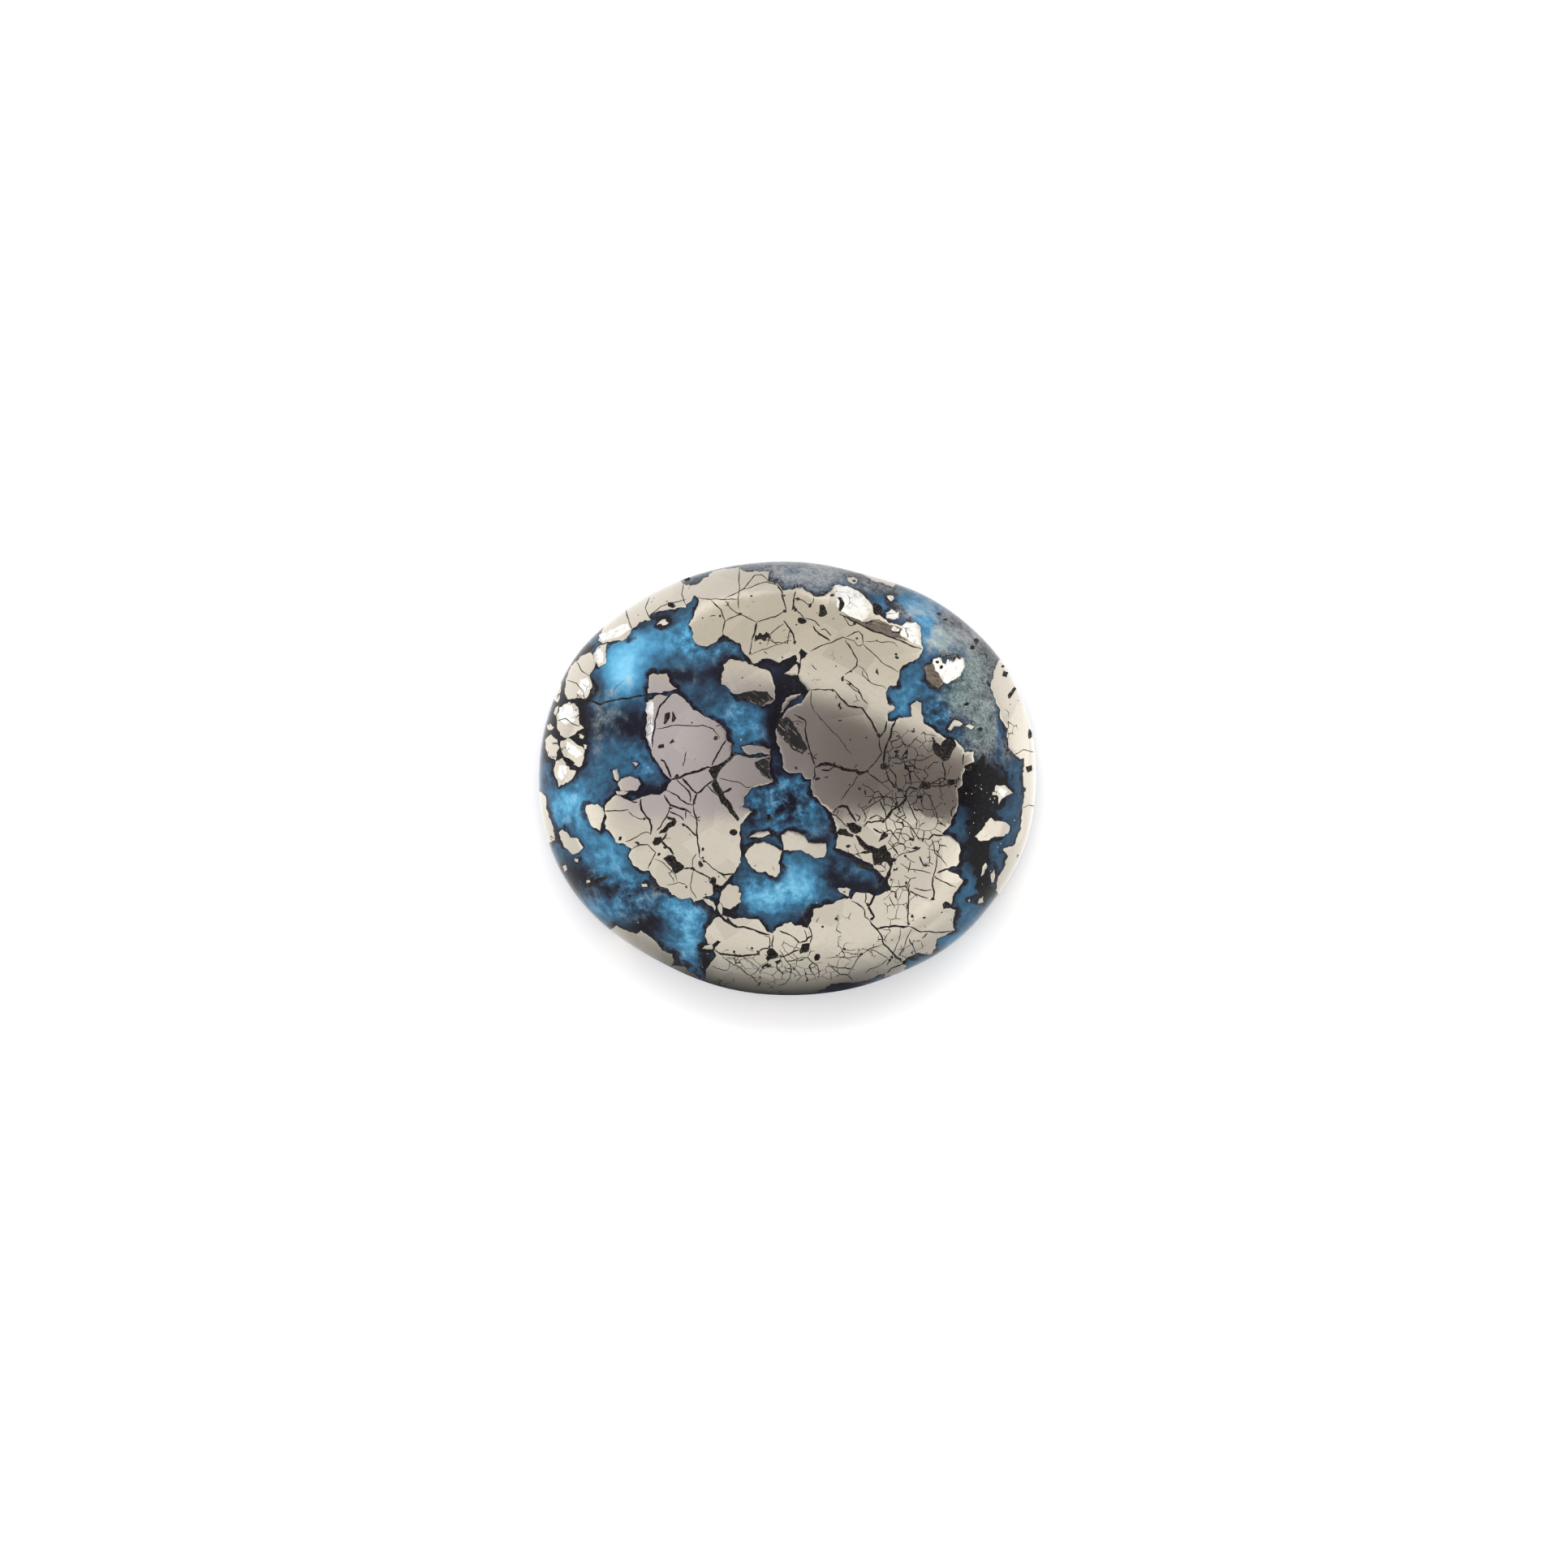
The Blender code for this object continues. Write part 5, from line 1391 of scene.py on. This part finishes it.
# %% Ground back
back, tree, shader, place = new_material("ground_back")
mist = use_group(tree, clouds, place, Size=2.6)
marks = use_group(tree, polish_marks, place, Fineness=9.0).outputs["Marks"]
blue = ramp(tree, mist.outputs["Middle"], (
    (0.30, (0.020, 0.020, 0.032)), (0.50, (0.040, 0.110, 0.180)), (0.70, (0.160, 0.330, 0.440)),
))
metal_mask = step_up(tree, mist.outputs["Broad"], 0.50, 0.54)
flaws = use_group(tree, hairlines, place, Scale=0.8, Width=0.03, Amount=0.6).outputs["Line"]
colour = blend_colour(tree, metal_mask, blue, (0.36, 0.33, 0.27, 1.0))
colour = blend_colour(tree, flaws, colour, (0.015, 0.013, 0.013, 1.0))
join(colour, shader.inputs["Base Color"])
join(times(tree, metal_mask, 0.7), shader.inputs["Metallic"])
join(times_plus(tree, marks, 0.3, 0.45), shader.inputs["Roughness"])
bump(tree, shader, marks, 0.25, 0.008 * MM)
for material in (turquoise, pyrite, matrix, back, painted_glint, scored_painted_shade, painted_dark_reflection):
    mesh.materials.append(material)
print("materials on the stone:", [material.name for material in mesh.materials])

# %% [markdown]
# Crumbs of pyrite too small to draw one by one are strewn through the dark parts of the turquoise,
# and grit lies in the open cracks. That is a job for Geometry Nodes: points are scattered over the
# stone where an attribute asks for them, each gets a small flattened crystal, and the lot is made
# one real mesh.

# %% Crumbs of pyrite


def crumb_tree():
    tree = bpy.data.node_groups.new("strewn_crumbs", "GeometryNodeTree")
    face = tree.interface
    face.new_socket("Stone", in_out="INPUT", socket_type="NodeSocketGeometry")
    for label in ("Most Per Square Metre", "Crumb Size", "Sink"):
        face.new_socket(label, in_out="INPUT", socket_type="NodeSocketFloat")
    face.new_socket("Seed", in_out="INPUT", socket_type="NodeSocketInt")
    face.new_socket("Where", in_out="INPUT", socket_type="NodeSocketString")
    face.new_socket("Material", in_out="INPUT", socket_type="NodeSocketMaterial")
    face.new_socket("Crumbs", in_out="OUTPUT", socket_type="NodeSocketGeometry")
    ins, outs = add_node(tree, "NodeGroupInput"), add_node(tree, "NodeGroupOutput")
    where = add_node(tree, "GeometryNodeInputNamedAttribute", data_type="FLOAT")
    join(ins.outputs["Where"], where.inputs["Name"])
    density = times(tree, where.outputs["Attribute"], ins.outputs["Most Per Square Metre"])
    scatter = add_node(tree, "GeometryNodeDistributePointsOnFaces")
    join(ins.outputs["Stone"], scatter.inputs["Mesh"])
    join(density, scatter.inputs["Density"])
    join(ins.outputs["Seed"], scatter.inputs["Seed"])
    sunk = add_node(tree, "ShaderNodeVectorMath", operation="SCALE")
    join(scatter.outputs["Normal"], sunk.inputs[0])
    join(ins.outputs["Sink"], sunk.inputs["Scale"])
    lower = add_node(tree, "GeometryNodeSetPosition")
    join(scatter.outputs["Points"], lower.inputs["Geometry"])
    join(sunk.outputs[0], lower.inputs["Offset"])
    crystal = add_node(tree, "GeometryNodeMeshIcoSphere")
    crystal.inputs["Radius"].default_value = 1.0
    crystal.inputs["Subdivisions"].default_value = 1
    spin = add_node(tree, "FunctionNodeRandomValue", data_type="FLOAT")
    spin.inputs[3].default_value = 2.0 * math.pi
    join(ins.outputs["Seed"], spin.inputs["Seed"])
    turn = add_node(tree, "ShaderNodeCombineXYZ")
    join(spin.outputs[1], turn.inputs["Z"])
    about = add_node(tree, "FunctionNodeEulerToRotation")
    join(turn.outputs[0], about.inputs[0])
    aligned = add_node(tree, "FunctionNodeRotateRotation", rotation_space="LOCAL")
    join(scatter.outputs["Rotation"], aligned.inputs[0])
    join(about.outputs[0], aligned.inputs[1])
    size = add_node(tree, "FunctionNodeRandomValue", data_type="FLOAT_VECTOR")
    size.inputs[0].default_value = (0.25, 0.20, 0.15)
    size.inputs[1].default_value = (1.1, 0.7, 0.30)
    join(ins.outputs["Seed"], size.inputs["Seed"])
    scaled = add_node(tree, "ShaderNodeVectorMath", operation="SCALE")
    join(size.outputs[0], scaled.inputs[0])
    join(ins.outputs["Crumb Size"], scaled.inputs["Scale"])
    place = add_node(tree, "GeometryNodeInstanceOnPoints")
    join(lower.outputs[0], place.inputs["Points"])
    join(crystal.outputs["Mesh"], place.inputs["Instance"])
    join(aligned.outputs[0], place.inputs["Rotation"])
    join(scaled.outputs[0], place.inputs["Scale"])
    real = add_node(tree, "GeometryNodeRealizeInstances")
    coat = add_node(tree, "GeometryNodeSetMaterial")
    join(place.outputs[0], real.inputs[0])
    join(real.outputs[0], coat.inputs["Geometry"])
    join(ins.outputs["Material"], coat.inputs["Material"])
    join(coat.outputs[0], outs.inputs["Crumbs"])
    return tree


def strew(name, tree, inputs):
    """Runs the tree over a copy of the stone and keeps what it makes as a plain mesh."""
    carrier = bpy.data.objects.new(name + "_carrier", mesh)
    bpy.context.scene.collection.objects.link(carrier)
    modifier = carrier.modifiers.new("strew", "NODES")
    modifier.node_group = tree
    for item in tree.interface.items_tree:
        if item.in_out == "INPUT" and item.name in inputs:
            modifier[item.identifier] = inputs[item.name]
    graph = bpy.context.evaluated_depsgraph_get()
    made = bpy.data.meshes.new_from_object(carrier.evaluated_get(graph), depsgraph=graph)
    bpy.data.objects.remove(carrier)
    made.name = name
    piece = bpy.data.objects.new(name, made)
    bpy.context.scene.collection.objects.link(piece)
    print(name, "triangles:", sum(len(face.vertices) - 2 for face in made.polygons))
    return piece


crumbs = crumb_tree()
specks = strew("pyrite_specks", crumbs, {
    "Most Per Square Metre": 16.0e6, "Crumb Size": 0.060 * MM, "Sink": -0.006 * MM, "Seed": 5,
    "Where": "speckle", "Material": pyrite,
})
grit = strew("crack_grit", crumbs, {
    "Most Per Square Metre": 60.0e6, "Crumb Size": 0.045 * MM, "Sink": 0.002 * MM, "Seed": 9,
    "Where": "crumble", "Material": matrix,
})

# %% [markdown]
# The view looks straight down on the stone, with the photo's right along +X. A long lens far away
# keeps the shape true. The frame is 1932 pixels wide, and so is the view that everything was placed
# in, so the camera's width and centre follow from the same numbers.

# %% Camera
FRAME_PIXELS = 1932
CAMERA_DISTANCE = 0.80
SENSOR_MM = 36.0
frame_width = FRAME_PIXELS * PIXEL * MM
camera_data = bpy.data.cameras.new("camera")
camera_data.sensor_width = SENSOR_MM
camera_data.lens = SENSOR_MM * CAMERA_DISTANCE / frame_width
camera = bpy.data.objects.new("camera", camera_data)
aim = in_millimetres([(FRAME_PIXELS / 2, FRAME_PIXELS / 2)])[0] * MM
camera.location = (aim[0], aim[1], CAMERA_DISTANCE + GIRDLE_HEIGHT * MM)
bpy.context.scene.collection.objects.link(camera)
bpy.context.scene.camera = camera
print("lens", round(camera_data.lens, 1), "frame width in millimetres", round(frame_width / MM, 2))

# %% [markdown]
# A polished metal shows its surroundings, so the surroundings are part of the look. They are pale all
# round, as in a light tent, brighter at the sides and shaded low down in front, with a dim opening
# overhead, where the camera looks in. Its reflection is the dark band across the middle of the stone.
# The world's colour is worked out from the direction.

# %% Surroundings
WORLD_PALE = (1.04, 1.03, 1.01, 1.0)
WORLD_UPPER = (0.88, 0.85, 0.79, 1.0)
WORLD_SIDES = (1.36, 1.35, 1.33, 1.0)
WORLD_FRONT = (0.77, 0.76, 0.73, 1.0)
OPENING_LEFT = (0.78, 0.755, 0.87, 1.0)
OPENING_RIGHT = (0.228, 0.206, 0.212, 1.0)
world = bpy.data.worlds.new("light_tent")
bpy.context.scene.world = world
world.use_nodes = True
tree = world.node_tree
direction = add_node(tree, "ShaderNodeSeparateXYZ")
join(add_node(tree, "ShaderNodeTexCoord").outputs["Generated"], direction.inputs[0])
upward = sum_of(tree, "MAXIMUM", direction.outputs["Z"], 0.02)
right = sum_of(tree, "DIVIDE", direction.outputs["X"], upward)
behind = sum_of(tree, "DIVIDE", direction.outputs["Y"], upward)
bow = times(tree, times(tree, right, right), 0.16)
low_edge = sum_of(tree, "ADD", behind, bow)
high_edge = times_plus(tree, right, 0.4, sum_of(tree, "SUBTRACT", behind, bow))
above_low = step_up(tree, low_edge, -0.19, -0.12)
below_high = rest_of(tree, step_up(tree, high_edge, 0.34, 0.62))
opening = times(tree, above_low, below_high)
sides = times(tree, step_up(tree, right, -1.5, -0.8), rest_of(tree, step_up(tree, right, 1.3, 2.2)))
opening = times(tree, opening, sides)
dim = blend_colour(tree, step_up(tree, right, -0.5, 0.25), OPENING_LEFT, OPENING_RIGHT)
pale = blend_colour(tree, step_up(tree, behind, 0.2, 1.2), WORLD_PALE, WORLD_UPPER)
to_side = sum_of(tree, "MAXIMUM", step_up(tree, right, -0.9, -2.4), step_up(tree, right, 0.7, 2.4))
pale = blend_colour(tree, to_side, pale, WORLD_SIDES)
low_down = rest_of(tree, step_up(tree, direction.outputs["Z"], 0.0, 0.40))
in_front = times(tree, low_down, step_up(tree, direction.outputs["Y"], -0.45, -0.85))
pale = blend_colour(tree, in_front, pale, WORLD_FRONT)
join(blend_colour(tree, opening, pale, dim), tree.nodes["Background"].inputs["Color"])
bpy.context.scene.view_settings.view_transform = "Standard"
print("surroundings set")

# %% [markdown]
# Near the rim the dome looks down at the floor round it. In a studio cards lie there: white ones
# behind and at the sides, and a dark one in front, which shades the lower rim. Here they are one ring
# of card whose light changes with the angle and fades outwards to that of the tent. Only reflections
# see it.

# %% Ring of reflector card
CARD_HEIGHT = 0.0002
CARD_STEPS = 96
CARD_RINGS = (  # reach in outlines, and the share of the card's own light where it is dark and bright
    (1.004, 1.00, 1.00), (1.35, 0.78, 0.95), (2.10, 0.46, 0.66), (3.40, 0.36, 0.30), (6.00, 0.30, 0.00),
    (12.0, 0.27, 0.00), (40.0, 0.26, 0.00), (90.0, 0.00, 0.00),
)
CARD_LIGHT = (  # angle in degrees from the right, brightness
    (0.0, 1.55), (45.0, 1.00), (90.0, 0.88), (125.0, 1.20), (180.0, 1.40), (215.0, 0.90),
    (245.0, 0.03), (286.0, 0.01), (304.0, 0.60), (322.0, 0.90), (360.0, 1.55),
)
CARD_FADES_TO = 1.03
card_mesh = bpy.data.meshes.new("reflector_ring")
bm = bmesh.new()
angles, levels = zip(*CARD_LIGHT)
spokes, brightness = [], []
for index in range(CARD_STEPS):
    angle = 2.0 * math.pi * index / CARD_STEPS
    radius = float(outline_radius(np.array(angle))) * MM
    full = float(np.interp(math.degrees(angle), angles, levels))
    spoke = []
    for reach, dark_share, bright_share in CARD_RINGS:
        share = float(np.interp(full, (0.05, 0.7), (dark_share, bright_share)))
        spoke.append(bm.verts.new((reach * radius * math.cos(angle), reach * radius * math.sin(angle),
                                   CARD_HEIGHT)))
        brightness.append(CARD_FADES_TO + (full - CARD_FADES_TO) * share)
    spokes.append(spoke)
for this, following in zip(spokes, spokes[1:] + spokes[:1]):
    for ring in range(len(CARD_RINGS) - 1):
        bm.faces.new((this[ring], this[ring + 1], following[ring + 1], following[ring]))
bm.to_mesh(card_mesh)
bm.free()
light_layer = card_mesh.attributes.new("card_light", "FLOAT", "POINT")
light_layer.data.foreach_set("value", brightness)
card = bpy.data.objects.new("reflector_ring", card_mesh)
bpy.context.scene.collection.objects.link(card)
card_paper, tree, shader, place = new_material("reflector_card")
shader.inputs["Base Color"].default_value = (0.0, 0.0, 0.0, 1.0)
shader.inputs["Specular IOR Level"].default_value = 0.0
tint = add_node(tree, "ShaderNodeCombineColor")
for channel in range(3):
    feed(tint.inputs[channel], attribute(tree, "card_light"))
join(tint.outputs[0], shader.inputs["Emission Color"])
shader.inputs["Emission Strength"].default_value = 1.0
card_mesh.materials.append(card_paper)
for ray in ("visible_camera", "visible_diffuse", "visible_shadow", "visible_transmission"):
    setattr(card, ray, False)
print("card ring faces:", len(card_mesh.polygons))

# %% [markdown]
# Two long softboxes at the sides and a broad one behind give the light a gentle direction and the
# shadow below the stone. They light surfaces but aren't mirrored in the metal. The floor is plain and
# pale, and wide enough for any view.

# %% Softboxes and floor
SOFTBOXES = (  # name, direction it shines from, distance, width, height, power in watts
    ("softbox_left", (-1.0, 0.35, 0.42), 0.30, 0.30, 0.10, 0.30),
    ("softbox_right", (1.0, 0.25, 0.42), 0.30, 0.30, 0.10, 0.25),
    ("softbox_back", (0.0, 1.0, 1.15), 0.35, 0.40, 0.16, 0.76),
)
for name, toward, distance, width, height, power in SOFTBOXES:
    light = bpy.data.lights.new(name, "AREA")
    light.shape = "RECTANGLE"
    light.size, light.size_y, light.energy = width, height, power
    lamp = bpy.data.objects.new(name, light)
    lamp.location = Vector(toward).normalized() * distance
    lamp.rotation_euler = Vector(toward).to_track_quat("Z", "Y").to_euler()
    lamp.visible_camera = False
    lamp.visible_glossy = False
    bpy.context.scene.collection.objects.link(lamp)

FLOOR_HALF = 1.5
FLOOR_DROP = 0.01 * MM  # keeps the floor just clear of the stone's back
floor_mesh = bpy.data.meshes.new("floor")
bm = bmesh.new()
bmesh.ops.create_grid(bm, x_segments=1, y_segments=1, size=FLOOR_HALF)
bmesh.ops.translate(bm, vec=(0.0, 0.0, -FLOOR_DROP), verts=bm.verts)
bm.to_mesh(floor_mesh)
bm.free()
floor = bpy.data.objects.new("floor", floor_mesh)
bpy.context.scene.collection.objects.link(floor)
paper, tree, shader, place = new_material("pale_paper")
shader.inputs["Base Color"].default_value = (0.90, 0.90, 0.90, 1.0)
shader.inputs["Roughness"].default_value = 0.9
shader.inputs["Emission Color"].default_value = (1.0, 1.0, 1.0, 1.0)
shader.inputs["Emission Strength"].default_value = 0.12
floor_mesh.materials.append(paper)
print("softboxes:", len(SOFTBOXES), "floor half width in metres:", FLOOR_HALF)

# %% [markdown]
# Last, each piece is told which body carries it, and the stone takes the place of the plain solid.

# %% Hand over to the frame
for piece in (stone, specks, grit):
    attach(piece, "root")
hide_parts(NODE)
